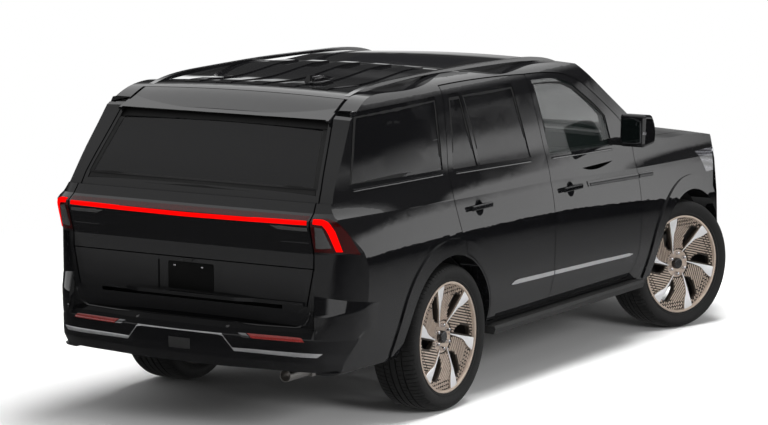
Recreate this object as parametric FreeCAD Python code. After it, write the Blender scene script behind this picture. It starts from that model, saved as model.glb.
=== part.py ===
import FreeCAD, Part
import math
import os

from FreeCAD import Vector

os.makedirs("parts", exist_ok=True)

# A large family SUV: body on a ladder frame, four doors, hood, liftgate over a drop-down tailgate.
# Millimetres. +X is forward, +Y is the left side, +Z is up; the origin is on the ground at mid length.

# Overall sizes
length = 5332.0
wheelbase = 3112.0
rear_overhang = 1245.0
half_width = 1013.0
height = 1900.0

# Wheels
tyre_radius = 419.0
tyre_width = 285.0
half_track = 857.5
disc_radius = 178.0
disc_thickness = 32.0
hub_radius = 88.0
cap_radius = 34.0
lug_radius = 12.0
lug_circle = 67.5
wheel_well_rear = 471.0
wheel_well_front = 485.0
flare_band = 94.0
flare_height = 10.0
liner_thickness = 5.0

# Walls and gaps
panel_gap = 6.0
seat_clearance = 0.3
gate_gap = 9.0
hood_gap = 12.0
skin_depth = 24.0
seal_step = 24.0
strip_rise = 4.0
rib_rise = 6.0
rib_width = 104.0
rib_count = 5
plate_recess = 9.0
hinge_width = 60.0
lower_wall = 108.0
upper_wall = 52.0
glass_inset = 5.0
glass_thickness = 6.0
bumper_wall = 60.0
fender_wall = 40.0
hood_thickness = 34.0
roof_thickness = 44.0

# Moving parts
steer_at_rest = 19.0
steering_ratio = 15.0
kingpin_half = 770.0
kingpin_radius = 22.0
running_gap = 0.5
handle_length = 230.0
handle_height = 30.0
handle_depth = 20.0
handle_rise = 32.0
handle_foot = 24.0
cup_radius = 62.0
cup_depth = 20.0
wheel_grip_radius = 185.0
wheel_grip_tube = 14.0
column_tilt = 25.0
column_radius = 22.0
column_length = 210.0

# Plain parts
knuckle_half = 55.0
knuckle_height = 230.0
stub_radius = 42.0
knuckle_y = 715.0
rail_depth = 80.0
rail_half = 420.0
tube_radius = 32.0
step_thickness = 50.0
rail_bar_width = 34.0
exhaust_radius = 35.0
exhaust_bore = 31.0
spare_radius = 385.0
spare_width = 190.0
seat_width = 520.0
seat_round = 40.0
mirror_round = 22.0
fuel_door_thickness = 12.0
fuel_pocket = 34.0

rear_axle_x = -length / 2 + rear_overhang
front_axle_x = rear_axle_x + wheelbase
far = length


# Helpers
def at(share):
    """Place along the car, as a share of the wheelbase forward of the rear axle."""
    return rear_axle_x + share * wheelbase


def wide(share):
    return share * half_width


def high(share):
    return share * height


def curve(points):
    if len(points) == 2:
        return Part.makeLine(points[0], points[1])
    spline = Part.BSplineCurve()
    spline.interpolate(points)
    return spline.toShape()


def closed_face(chains):
    """Face inside a loop of chains; each chain starts where the one before it ended."""
    edges = []
    last = chains[-1][-1]
    for chain in chains:
        edges.append(curve([last] + chain))
        last = chain[-1]
    return Part.Face(Part.Wire(edges))


def grown(chains, grow):
    """The same loop of flat chains, moved outwards by grow with mitred corners."""
    last = chains[-1][-1]
    area = 0.0
    tangents = []
    for chain in chains:
        points = [last] + chain
        if len(points) == 2:
            tangents.append([(points[1] - points[0]).normalize()] * 2)
        else:
            spline = Part.BSplineCurve()
            spline.interpolate(points)
            tangents.append([Vector(*spline.tangent(spline.parameter(p))[0]).normalize() for p in points])
        for p, q in zip(points, points[1:]):
            area += p.x * q.z - q.x * p.z
        last = chain[-1]
    turn = grow if area > 0 else -grow
    result = []
    for number, chain in enumerate(chains):
        sides = [Vector(t.z, 0, -t.x) for t in tangents[number]]
        after = tangents[(number + 1) % len(chains)][0]
        next_side = Vector(after.z, 0, -after.x)
        moved = [p + n * turn for p, n in zip(chain[:-1], sides[1:-1])]
        corner = sides[-1] + next_side
        moved.append(chain[-1] + corner * (turn / (1 + sides[-1].dot(next_side))))
        result.append(moved)
    return result


def side_prism(chains, inner, outer, grow=0.0):
    """Loop of (x share, z share) chains in side view, pushed out sideways from y = inner to y = outer."""
    loops = [[Vector(at(x), inner, high(z)) for x, z in chain] for chain in chains]
    if grow:
        loops = grown(loops, grow)
    return closed_face(loops).extrude(Vector(0, outer - inner, 0))


def straight(points):
    """A loop of straight chains through (x share, z share) points."""
    return [[p] for p in points]


def front_prism(points, x_start, x_end):
    """Outline in front view, (y share, z share), pushed along the car."""
    ring = [Vector(x_start, wide(y), high(z)) for y, z in points]
    return Part.Face(Part.makePolygon(ring + ring[:1])).extrude(Vector(x_end - x_start, 0, 0))


def mirror(shape):
    return shape.mirror(Vector(0, 0, 0), Vector(0, 1, 0))


def both(shape):
    return Part.makeCompound([shape, mirror(shape)])


def block(x0, x1, y0, y1, z0, z1):
    return Part.makeBox(x1 - x0, y1 - y0, z1 - z0, Vector(x0, y0, z0))


def across(x, z, radius, y0, y1):
    """Round bar across the car."""
    return Part.makeCylinder(radius, y1 - y0, Vector(x, y0, z), Vector(0, 1, 0))


def rod(start, end, radius):
    return Part.makeCylinder(radius, (end - start).Length, start, end - start)


def fused(shapes):
    return shapes[0].multiFuse(shapes[1:]).removeSplitter() if len(shapes) > 1 else shapes[0]


def solids_of(shape):
    found = [s for s in shape.Solids if s.Volume > tyre_width]
    return found[0] if len(found) == 1 else Part.makeCompound(found)


def save(name, shape):
    shape = solids_of(shape)
    if not shape.isValid():
        print("not valid:", name)
    shape.exportStep("parts/" + name + ".step")
    box = shape.BoundBox
    print(name, len(shape.Solids), round(shape.Volume / 1e6, 3), [round(v) for v in (
        box.XMin, box.XMax, box.YMin, box.YMax, box.ZMin, box.ZMax)])


# Outer volumes
# Cross-sections of the body side: half width against height, mid-length
lower_side_shares = [(0.8934, 0.1737), (0.9358, 0.2263), (0.9783, 0.3116), (0.9882, 0.3895),
                     (0.9901, 0.4474)]
# Shoulder under the crease: half width, depth below the crease, part of the tuck that it takes
shoulder_shares = [(0.9862, 0.0974, 0.1), (0.9743, 0.0463, 0.25)]
upper_side_shares = [(0.9161, 0.7105), (0.8875, 0.7895), (0.8569, 0.8632), (0.8253, 0.9289),
                     (0.7937, 0.9568), (0.7384, 0.9747), (0.6417, 0.9884)]
crease_y_share = 0.9556
ledge_y_share = 0.9506
ledge_rise_share = 0.0189
crease_drop_share = 0.4

# x, how far the lower side tucks in, how far the upper side tucks in, height of the crease
station_shares = [
    (-0.4274, 0.0395, 0.1066, 0.6432),
    (-0.2892, 0.0079, 0.0494, 0.6411),
    (-0.1285, 0.0, 0.0158, 0.6342),
    (0.0964, 0.0, 0.002, 0.6242),
    (0.3985, 0.0, 0.0, 0.6147),
    (0.7391, 0.0, 0.0089, 0.5905),
    (0.964, 0.003, 0.0296, 0.5789),
    (1.1247, 0.0138, 0.0553, 0.5711),
    (1.3303, 0.0494, 0.1086, 0.5632),
]


def side_section(x, low_tuck, high_tuck, crease_z, inset):
    extra_tuck = high_tuck - low_tuck
    low = [(y - low_tuck, z) for y, z in lower_side_shares]
    low += [(y - low_tuck - extra_tuck * part, crease_z - drop) for y, drop, part in shoulder_shares]
    crease_tuck = low_tuck + extra_tuck * crease_drop_share
    crease = (crease_y_share - crease_tuck, crease_z)
    top = [(ledge_y_share - high_tuck, crease_z + ledge_rise_share)]
    top += [(y - high_tuck, z) for y, z in upper_side_shares]

    def chain(points, sign):
        return [Vector(at(x), sign * (wide(y) - inset), high(z)) for y, z in points]
    left_low, left_top = chain(low + [crease], 1), chain([crease] + top, 1)
    right_low, right_top = chain(low + [crease], -1), chain([crease] + top, -1)
    edges = [
        curve(left_low), curve(left_top), Part.makeLine(left_top[-1], right_top[-1]),
        curve(right_top[::-1]), curve(right_low[::-1]), Part.makeLine(right_low[0], left_low[0])]
    return Part.Wire(edges)


def side_volume(inset):
    return Part.makeLoft([side_section(*row, inset) for row in station_shares], True, False)


# Plan outlines of the ends: distance from the end of the car against half width
tail_plan_shares = [(0.001, 0.4936), (0.0019, 0.691), (0.0039, 0.7897), (0.0116, 0.8687), (0.0289, 0.923),
                    (0.0578, 0.9625), (0.1028, 0.997), (0.1478, 1.0267)]
nose_plan_shares = [(0.2892, 1.0267), (0.2249, 1.002), (0.1671, 0.9497), (0.1189, 0.8914),
                    (0.0755, 0.8243), (0.0337, 0.6811), (0.009, 0.385)]
# Height, tail end and nose end of each level of the lower body
lower_level_shares = [
    (0.1474, -0.3535, 1.2629),
    (0.2263, -0.3647, 1.2998),
    (0.3158, -0.3641, 1.3133),
    (0.4211, -0.3641, 1.3094),
    (0.5421, -0.3641, 1.295),
    (0.6237, -0.3792, 1.2741),
    (0.6379, -0.3792, 1.2677),
    (0.6579, -0.3631, 1.2532),
    (0.6842, -0.3522, 1.2211),
]


def plan_wire(z, tail_x, nose_x, inset, tail_shares, nose_shares):
    tail = [(at(tail_x + x) + inset, wide(y) - inset) for x, y in tail_shares]
    nose = [(at(nose_x - x) - inset, wide(y) - inset) for x, y in nose_shares]
    tail_end = (at(tail_x) + inset, 0)
    nose_end = (at(nose_x) - inset, 0)
    z = high(z)

    def chain(points):
        return [Vector(x, y, z) for x, y in points]
    left_tail = chain([tail_end] + tail)
    left_nose = chain(nose + [nose_end])
    rear = [Vector(p.x, -p.y, p.z) for p in left_tail[:0:-1]] + left_tail
    front = left_nose + [Vector(p.x, -p.y, p.z) for p in left_nose[-2::-1]]
    edges = [curve(rear), Part.makeLine(rear[-1], front[0]), curve(front),
             Part.makeLine(front[-1], rear[0])]
    return Part.Wire(edges)


def lower_volume(inset):
    rings = [plan_wire(z, a, b, inset, tail_plan_shares, nose_plan_shares) for z, a, b in lower_level_shares]
    return Part.makeLoft(rings, True, True)


# Greenhouse: windshield and rear glass by levels, wide enough for the side volume to trim them
cabin_tail_shares = [(0.0006, 0.4936), (0.0026, 0.7897), (0.0084, 1.0859)]
cabin_nose_shares = [(0.0482, 1.0859), (0.0263, 0.8095), (0.0154, 0.612), (0.0045, 0.3258)]
cabin_level_shares = [
    (0.6211, -0.3528, 0.9335),
    (0.6789, -0.3432, 0.8821),
    (0.8132, -0.2902, 0.7535),
    (0.9421, -0.2362, 0.6314),
    (1.0, -0.2121, 0.5752),
]


def cabin_volume(inset):
    rings = [plan_wire(z, a, b, inset, cabin_tail_shares, cabin_nose_shares)
             for z, a, b in cabin_level_shares]
    return Part.makeLoft(rings, True, False)


# Crowned tops: x, height on the centre line, fall at the edge
roof_shares = [(-0.4177, 0.7579, 0.0126), (-0.3374, 0.8316, 0.0126), (-0.2603, 0.9016, 0.0105),
               (-0.2089, 0.9479, 0.0126), (-0.1832, 0.9647, 0.0147), (-0.0964, 0.9726, 0.0147),
               (0.0321, 0.9789, 0.0147), (0.2249, 0.9842, 0.0147), (0.4177, 0.9821, 0.0158),
               (0.5623, 0.9742, 0.0179), (0.6587, 0.9642, 0.0211), (0.8676, 0.9368, 0.0263)]
hood_shares = [(-0.4499, 0.6874, 0.0032), (0.482, 0.6874, 0.0042), (0.8033, 0.6853, 0.0137),
               (0.874, 0.6811, 0.0158), (1.0604, 0.6674, 0.0158), (1.1729, 0.6484, 0.0168),
               (1.2532, 0.6189, 0.0189), (1.3335, 0.5684, 0.0211)]
crown_half_share = 0.8885
crown_reach_share = 1.1352


def crowned_volume(rows, base, drop):
    """Volume under a crowned top that runs along the car."""
    rings = []
    for x, z, fall in rows:
        side = crown_reach_share / crown_half_share
        low = high(z - fall * side * side) - drop
        quarter = high(z - fall * side * side / 4) - drop
        top = curve([Vector(at(x), -wide(crown_reach_share), low),
                     Vector(at(x), -wide(crown_reach_share) / 2, quarter),
                     Vector(at(x), 0, high(z) - drop),
                     Vector(at(x), wide(crown_reach_share) / 2, quarter),
                     Vector(at(x), wide(crown_reach_share), low)])
        left, right = Vector(at(x), wide(crown_reach_share), high(base)), Vector(
            at(x), -wide(crown_reach_share), high(base))
        rings.append(Part.Wire([
            top, Part.makeLine(Vector(at(x), wide(crown_reach_share), low), left),
            Part.makeLine(left, right), Part.makeLine(right, Vector(at(x), -wide(crown_reach_share), low))]))
    return Part.makeLoft(rings, True, False)


body_base_share = 0.1263
cabin_base_share = 0.6316
side = side_volume(0)
plan_low = lower_volume(0)
outer_low = side.common(plan_low).common(crowned_volume(hood_shares, body_base_share, 0))
roof_crown = crowned_volume(roof_shares, cabin_base_share, 0)
outer_high = side.common(cabin_volume(0)).common(roof_crown)
body = outer_low.fuse(outer_high)

# Hollow inside
belt_shares = [(-0.4177, 0.7168), (-0.3053, 0.7168), (0.0321, 0.7), (0.3985, 0.6789),
               (0.6748, 0.6589), (0.8098, 0.6516)]
cabin_floor_share = 0.2526
load_floor_share = 0.3895
load_under_share = 0.3779
sill_base_share = 0.2168
panel_front_share = -0.3265
floor_front_share = 0.8033
gate_inner_share = -0.3342
sill_in = wide(0.7897)


belt_chains = [[(belt_shares[0][0], cabin_floor_share)], [belt_shares[0]], belt_shares[1:],
               [(belt_shares[-1][0], cabin_floor_share)]]
under_belt = side_prism(belt_chains, -half_width, half_width)
side_in_low = side_volume(lower_wall)
side_in_high = side_volume(upper_wall)
room_low = side_in_low.common(under_belt).common(
    block(at(gate_inner_share), at(floor_front_share), -half_width, half_width, 0, height))
roof_under = crowned_volume(roof_shares, cabin_base_share, roof_thickness)
room_high = side_in_high.common(cabin_volume(upper_wall)).common(roof_under).common(
    block(at(gate_inner_share), at(floor_front_share), -half_width, half_width, high(0.6395), height))
room = room_low.fuse(room_high.cut(under_belt))
engine_room = side_volume(fender_wall).common(lower_volume(bumper_wall)).common(
    crowned_volume(hood_shares, body_base_share, hood_thickness)).common(
    block(at(0.8258), far, -half_width, half_width, high(0.1053), height))
under = block(-far, far, -sill_in, sill_in, 0, high(cabin_floor_share))
rear_under = block(-far, at(0.1799), -sill_in, sill_in, 0, high(load_under_share))
ground_cut = block(-far, far, -far, far, 0, high(0.1958))
step_room = block(at(0.1542), at(0.7873), 0, far, 0, high(sill_base_share))
print("rooms", room.isValid(), engine_room.isValid())

# Left half of the shell, with the raised bands round the wheel openings
side_limit = wide(0.5923)
wide_side = side_volume(-flare_height)
flare_inner = wide(0.849)
flare_base = high(0.2079)
bands = []
wells = []
for axle_x, radius, reach in ((rear_axle_x, wheel_well_rear, 0.6318),
                              (front_axle_x, wheel_well_front, 0.4886)):
    band = across(axle_x, tyre_radius, radius + flare_band, flare_inner, half_width + flare_height)
    bands.append(band.common(block(-far, far, 0, far, flare_base, height)))
    wells.append(across(axle_x, tyre_radius, radius, wide(reach), far))
flares = [wide_side.common(band).common(lower_volume(-flare_height)) for band in bands]
left_zone = block(-far, at(0.874), side_limit, far, 0, height)
left_wall = body.common(left_zone).fuse(flares[0])
left_wall = left_wall.cut([room, under, rear_under, ground_cut, step_room, wells[0], wells[1]])
print("left wall", left_wall.isValid(), len(left_wall.Solids), round(left_wall.Volume / 1e9, 4))

# Doors
front_door_shares = [
    [(0.768, 0.6611)],
    [(0.7487, 0.7221), (0.7005, 0.7858), (0.6427, 0.8474), (0.5591, 0.9168), (0.4756, 0.9432),
     (0.3779, 0.9505)],
    [(0.3978, 0.6842)],
    [(0.3978, 0.2305)],
    [(0.7359, 0.2305)],
    [(0.7551, 0.2632), (0.7661, 0.3368), (0.768, 0.4211)],
]
rear_door_shares = [
    [(0.3779, 0.9505)],
    [(0.2249, 0.9589), (0.0627, 0.9589)],
    [(0.0296, 0.7053)],
    [(0.0289, 0.6211), (0.0353, 0.5579), (0.0482, 0.5053)],
    [(0.0527, 0.4611)],
    [(0.0964, 0.4205), (0.135, 0.3479), (0.1523, 0.2716), (0.1555, 0.2305)],
    [(0.3978, 0.2305)],
    [(0.3978, 0.6842)],
]
front_window_shares = [
    [(0.6774, 0.6789)],
    [(0.6658, 0.7779)],
    [(0.6298, 0.8211), (0.588, 0.8621), (0.5511, 0.8947), (0.5013, 0.92),
     (0.4499, 0.9274), (0.3936, 0.9305)],
    [(0.4139, 0.6937)],
]
rear_window_shares = [
    [(0.339, 0.6989)],
    [(0.3149, 0.9316)],
    [(0.1253, 0.9326)],
    [(0.1462, 0.7095)],
]
fixed_light_shares = [
    [(0.1366, 0.7095)],
    [(0.1157, 0.9326)],
    [(0.0787, 0.9326)],
    [(0.0482, 0.7137)],
]
quarter_window_shares = [
    [(0.0129, 0.7189)],
    [(0.0308, 0.9326)],
    [(-0.2378, 0.9253)],
    [(-0.2828, 0.7274)],
]
door_inner = wide(0.691)
door_outer = half_width + flare_height + skin_depth
side_window_chains = [front_window_shares, rear_window_shares, fixed_light_shares, quarter_window_shares]
glass_layer = side_volume(glass_inset).cut(side_volume(glass_inset + glass_thickness))
skin_side = side_volume(skin_depth)
window_prisms = [side_prism(c, door_inner, door_outer) for c in side_window_chains]
left_wall = left_wall.cut(window_prisms)
half_gap = panel_gap / 2
door_wall = left_wall.common(block(at(0.0193), at(0.7712), door_inner, far, 0, height))


def split_door(chains):
    """Door in two layers: the outer skin, and an inner frame that steps in behind the seal."""
    skin = door_wall.common(side_prism(chains, door_inner, door_outer, -half_gap)).cut(skin_side)
    frame = door_wall.common(side_prism(chains, door_inner, door_outer, -half_gap - seal_step))
    return skin.fuse(frame)


def door_hole(chains):
    hole = side_prism(chains, door_inner, door_outer, half_gap).cut(skin_side)
    return hole.fuse(side_prism(chains, door_inner, door_outer, half_gap - seal_step))


badge_strip_shares = straight([(0.5463, 0.5705), (0.5431, 0.5874), (0.8403, 0.5684), (0.8355, 0.5516)])
moulding_shares = straight([(0.2249, 0.3263), (0.2474, 0.3411), (0.7166, 0.3168), (0.7365, 0.3105),
                            (0.7198, 0.3011), (0.2474, 0.3221)])
raised_skin = side_volume(-strip_rise).cut(side_volume(glass_inset))
badge_strip = raised_skin.common(side_prism(badge_strip_shares, door_inner, door_outer))
moulding = raised_skin.common(side_prism(moulding_shares, door_inner, door_outer))
handle_y = wide(0.9674)


def with_handle(door, x, z):
    """Door with the cup and the grip of its outside handle."""
    cup = Part.makeSphere(cup_radius, Vector(x, handle_y + cup_radius - cup_depth, z))
    grip = block(x - handle_length / 2, x + handle_length / 2, handle_y + handle_rise - handle_depth,
                 handle_y + handle_rise, z - handle_height / 2, z + handle_height / 2)
    grip = grip.makeFillet(handle_depth / 3, grip.Edges)
    feet = []
    for end in (-1, 1):
        foot_x = x + end * (handle_length / 2 - handle_foot)
        feet.append(block(foot_x - handle_foot / 2, foot_x + handle_foot / 2, handle_y - handle_foot / 2,
                          handle_y + handle_rise - handle_depth / 2, z - handle_height / 4,
                          z + handle_height / 4))
    return fused([door.cut(cup), grip] + feet)


front_outline = side_prism(front_door_shares, door_inner, door_outer, -half_gap)
rear_outline = side_prism(rear_door_shares, door_inner, door_outer, -half_gap)
front_door = split_door(front_door_shares).fuse([badge_strip.common(front_outline),
                                                 moulding.common(front_outline)])
front_door = with_handle(front_door, at(0.4708), high(0.5805))
rear_door = split_door(rear_door_shares).fuse(moulding.common(rear_outline))
rear_door = with_handle(rear_door, at(0.1121), high(0.5926))
print("doors", front_door.isValid(), len(front_door.Solids), rear_door.isValid(), len(rear_door.Solids))
panes = [glass_layer.common(prism) for prism in window_prisms]

# Openings at the front and the rear
windshield_points = [(0.7878, 0.6863), (0.6466, 0.9347), (-0.6466, 0.9347), (-0.7878, 0.6863)]
gate_points = [(0.7878, 0.4947), (0.7897, 0.6432), (0.772, 0.7179), (0.695, 0.9016),
               (0.6782, 0.9421), (0.6545, 1.0)]
gate_glass_points = [(0.7502, 0.7179), (0.6713, 0.9032), (-0.6713, 0.9032), (-0.7502, 0.7179)]
tail_points = [(0.7463, 0.3905), (0.7858, 0.4979), (0.7878, 0.5053)]
rear_seam = at(-0.1922)
gate_back = at(-0.4177)
tail_hinge = Vector(at(-0.3644), 0, high(0.3903))
tail_seam_share = 0.4995


def ring_of(points, grow):
    """Both sides of a rear-view outline, grown sideways."""
    shift = grow / half_width
    right = [(-y - shift, z) for y, z in points]
    left = [(y + shift, z) for y, z in points]
    return left + right[::-1]


windshield_hole = front_prism(windshield_points, at(0.5623), at(0.919))
front_glass = cabin_volume(glass_inset).cut(cabin_volume(glass_inset + glass_thickness))
screen_glass = front_glass.common(side_volume(glass_inset)).common(roof_under)
windshield = screen_glass.common(windshield_hole)
gate_glass_hole = front_prism(gate_glass_points, gate_back, at(-0.2217))
gate_glass = screen_glass.common(gate_glass_hole)

gate_zone = front_prism(ring_of(gate_points, -gate_gap / 2), gate_back, rear_seam - half_gap)
gate_hole = front_prism(ring_of(gate_points, gate_gap / 2), gate_back, rear_seam + half_gap)
tail_zone = front_prism(ring_of(tail_points, -gate_gap / 2), gate_back, at(gate_inner_share) + seal_step)
tail_hole = front_prism(ring_of(tail_points, gate_gap / 2), gate_back, at(gate_inner_share) + seal_step)
seam_radius = high(tail_seam_share) - tail_hinge.z
tail_sweep = across(tail_hinge.x, tail_hinge.z, seam_radius - half_gap, -far, far)
gate_sweep = across(tail_hinge.x, tail_hinge.z, seam_radius + half_gap, -far, far)

# Spoiler lip over the rear glass
lip_shares = straight([(-0.2057, 0.9421), (-0.2622, 0.9011), (-0.2629, 0.8947), (-0.2506, 0.8926),
                       (-0.2249, 0.9221)])
lip = side_prism(lip_shares, -wide(0.696), wide(0.696))
gate_core = front_prism(ring_of(gate_points, -gate_gap / 2 - seal_step / 2), gate_back, rear_seam)
gate_rebate = cabin_volume(skin_depth).cut(gate_core)
liftgate = body.common(gate_zone).cut(room).fuse(lip.common(gate_zone))
liftgate = liftgate.cut([gate_glass_hole, gate_sweep, gate_rebate])
bar_zone = block(gate_back, at(-0.3625), -wide(0.7759), wide(0.7759), high(0.6211), high(0.6516))
light_bar = liftgate.common(bar_zone)
liftgate = liftgate.cut(bar_zone)
plate_half = wide(0.2122)
plate_pocket = block(gate_back, at(-0.3641) + plate_recess, -plate_half, plate_half, high(0.4042),
                     high(0.4868))
ledge_shares = [(-0.3599, 0.7305), (-0.366, 0.7305), (-0.3692, 0.4146), (-0.3785, 0.3159)]
ledge_points = [Vector(at(x), wide(y), high(0.3911)) for x, y in ledge_shares]
ledge_points += [Vector(p.x, -p.y, p.z) for p in ledge_points[::-1]]
ledge = Part.Face(Part.makePolygon(ledge_points + ledge_points[:1])).extrude(Vector(0, 0, high(0.0105)))
tailgate = outer_low.common(tail_zone).cut(room).common(tail_sweep).cut(plate_pocket).fuse(ledge)
shell_half = wide(0.7858)
shell_back = at(-0.3615)
rear_panel = block(shell_back, at(panel_front_share), -shell_half, shell_half, high(0.2947),
                   high(load_under_share))

# Hood: top panel between the fenders
hood_half = wide(0.7799)
hood_rear = at(0.8644)
hood_low = high(0.5895)
hood_zone = block(hood_rear + half_gap, far, -hood_half + half_gap, hood_half - half_gap,
                  hood_low + half_gap, height)
hood = outer_low.common(hood_zone).cut(engine_room)

# Front end
bumper_chain = straight([(1.3817, 0.1263), (1.3817, 0.5184), (1.0925, 0.5184), (1.1536, 0.3158),
                         (1.1536, 0.1263)])
lamp_chain = straight([(1.3817, 0.5184), (1.3817, 0.5879), (1.0701, 0.5916), (1.0925, 0.5184)])
bumper_zone = side_prism(bumper_chain, -far, far)
lamp_zone = side_prism(lamp_chain, 0, far)
grille_half = wide(0.5824)
grille_low, grille_high = high(0.3632), high(0.5716)
intake_half = wide(0.5133)
intake_low, intake_high = high(0.2105), high(0.2947)
centre_zone = block(at(1.1247), far, -grille_half - rail_bar_width, grille_half + rail_bar_width,
                    grille_low, hood_low - half_gap)
grille_hole = block(at(1.1247), far, -grille_half, grille_half, grille_low, grille_high)
intake_hole = block(at(1.1247), far, -intake_half, intake_half, intake_low, intake_high)
front_body = outer_low.common(block(at(0.7699), far, -far, far, 0, height)).cut([engine_room, room])
front_bumper = front_body.common(bumper_zone.fuse(centre_zone)).cut([grille_hole, intake_hole, wells[1],
                                                                    mirror(wells[1])])
fender_zone = block(at(0.7699), far, hood_half + half_gap, far, high(0.1958), height)
front_side = front_body.common(fender_zone).fuse(flares[1]).fuse(
    badge_strip.common(block(at(0.7699), far, 0, far, 0, height)))
front_fender = front_side.cut([bumper_zone, lamp_zone, wells[1], step_room])
headlamp = front_body.common(lamp_zone).cut([centre_zone, wells[1]])
cowl_zone = block(at(0.7699), hood_rear - half_gap, -hood_half - half_gap, hood_half + half_gap,
                  high(0.6316), high(0.6858))
firewall_zone = block(at(0.8024), hood_rear - half_gap, -hood_half - half_gap, hood_half + half_gap,
                      high(cabin_floor_share), high(0.6316))
hood_hinges = [block(hood_rear - hood_gap, hood_rear + half_gap - running_gap, y - hinge_width / 2,
                     y + hinge_width / 2, high(0.6642), high(0.6747)) for y in (-wide(0.4738), wide(0.4738))]
cowl = front_body.common(cowl_zone).fuse(hood_hinges)
firewall = front_body.common(firewall_zone).cut([wells[1], mirror(wells[1])])

# Rear bumper: a step across the back that wraps round to the wheel openings
bumper_plan_shares = [(0.0, 0.1382), (0.0006, 0.2764), (0.0051, 0.3653), (0.0161, 0.612), (0.027, 0.7799),
                      (0.0386, 0.8588), (0.0643, 0.923), (0.106, 0.9724), (0.1671, 1.0267)]
bumper_level_shares = [(0.2026, -0.3872), (0.2311, -0.3985), (0.2568, -0.4001), (0.2979, -0.4001),
                       (0.3168, -0.3927), (0.3368, -0.3792), (0.3979, -0.3663)]


def bumper_volume(inset):
    rings = [plan_wire(z, x, 0.2571, inset, bumper_plan_shares, tail_plan_shares[::-1])
             for z, x in bumper_level_shares]
    return Part.makeLoft(rings, True, True)


bumper_outer = side.fuse([flares[0], mirror(flares[0])]).common(bumper_volume(0))
bumper_inner = bumper_volume(bumper_wall).common(side_volume(bumper_wall))
bumper_inner = bumper_inner.common(block(-far, far, -far, far, 0, high(0.2947)))
shell_cut = block(shell_back, far, -shell_half, shell_half, high(0.2842), height)
step_cut = block(-far, at(-0.2892), -wide(0.7404), wide(0.7404), high(0.3311), height)
bumper_side_shares = straight([(-0.482, 0.2026), (-0.482, 0.3884), (-0.1542, 0.3884), (-0.1542, 0.2026)])
bumper_limit = side_prism(bumper_side_shares, -far, far)
rear_bumper = bumper_outer.common(bumper_limit).cut([bumper_inner, step_cut, shell_cut, wells[0],
                                                     mirror(wells[0])])
rear_low_cut = side_prism(bumper_side_shares, shell_half, far)
print("bumper", rear_bumper.isValid(), len(rear_bumper.Solids))

# Corner lamps on the rear quarters
corner_lamp_shares = straight([(-0.4177, 0.5526), (-0.4177, 0.6453), (-0.3599, 0.6474),
                               (-0.3326, 0.6053), (-0.3004, 0.5358), (-0.3406, 0.5474)])
corner_zone = side_prism(corner_lamp_shares, wide(0.7947), far)
corner_skin = side_volume(fender_wall).common(lower_volume(fender_wall))
lamp_cut = corner_zone.cut(corner_skin)
tail_lamp = left_wall.common(lamp_cut)

# Roof panel and sunroof
roof_half = wide(0.691)
roof_zone = block(rear_seam + half_gap, at(0.6427), -roof_half, roof_half, high(0.9353), height)
sunroof_zone = block(at(0.1989), at(0.4271), -wide(0.3682), wide(0.3682), high(0.8947), height)
roof = outer_high.common(roof_zone).cut([room, sunroof_zone])
raised_roof = crowned_volume(roof_shares, cabin_base_share, -rib_rise)
rib_base = high(0.9368)
for number in range(rib_count):
    y = wide(0.4245) * (2 * number / (rib_count - 1) - 1)
    rib = block(at(-0.1542), at(0.1799), y - rib_width / 2, y + rib_width / 2, rib_base, height)
    roof = roof.fuse(rib.common(raised_roof).cut(room))
fin_shares = [[(0.0193, 0.9632)], [(0.0193, 0.9737)], [(-0.0193, 0.9832), (-0.0546, 0.9937)],
              [(-0.0755, 0.9926)], [(-0.0829, 0.9632)]]
fin_points = [(-0.2211, 0.9632), (-0.2053, 0.9974), (-0.1895, 0.9974), (-0.1737, 0.9632)]
fin = side_prism(fin_shares, -half_width, 0).common(front_prism(fin_points, -far, far))
gate_hinges = [block(rear_seam + running_gap - half_gap, rear_seam + hinge_width, y - hinge_width / 2,
                     y + hinge_width / 2, high(0.9453), high(0.9547)) for y in (-wide(0.3455), wide(0.3455))]
roof = roof.fuse([fin] + gate_hinges)
sunroof_glass = roof_crown.cut(
    crowned_volume(roof_shares, cabin_base_share, glass_thickness)).common(sunroof_zone)

# Body side: what is left of the left wall
front_low_cut = block(at(0.7699), far, 0, far, 0, high(0.6858))
body_side = left_wall.cut([door_hole(front_door_shares), door_hole(rear_door_shares), gate_hole, tail_hole,
                           windshield_hole, front_low_cut, rear_low_cut, lamp_cut, roof_zone])

# Fuel door on the left rear quarter
fuel_shares = straight([(-0.135, 0.5368), (-0.135, 0.6105), (-0.0842, 0.6105), (-0.0842, 0.5368)])
fuel_layer = side.cut(side_volume(fuel_door_thickness))
fuel_pocket_layer = side_volume(-flare_height).cut(side_volume(fuel_pocket))
fuel_door = fuel_layer.common(side_prism(fuel_shares, door_inner, door_outer, -half_gap))
pocket = fuel_pocket_layer.common(side_prism(fuel_shares, door_inner, door_outer, half_gap))
print("body side", body_side.isValid(), [round(s.Volume / 1e6, 2) for s in body_side.Solids])

# Floor, with the raised load floor behind
floor_points = [(0.8024, 0.2526), (0.2057, 0.2526), (0.1799, load_floor_share),
                (panel_front_share, load_floor_share), (panel_front_share, load_under_share),
                (0.1735, load_under_share), (0.1999, 0.2411), (0.8024, 0.2411)]
floor = side_in_low.common(side_prism(straight(floor_points), -far, far))
floor = floor.cut(both(block(-far, far, sill_in, far, 0, high(cabin_floor_share)).fuse(front_fender)))
rear_bumper = rear_bumper.cut(floor)
for axle_x, radius, reach in ((rear_axle_x, wheel_well_rear, 0.6259),
                              (front_axle_x, wheel_well_front, 0.4827)):
    floor = floor.cut(both(across(axle_x, tyre_radius, radius + liner_thickness, wide(reach), far)))


axle_room = knuckle_height * 0.9


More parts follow.
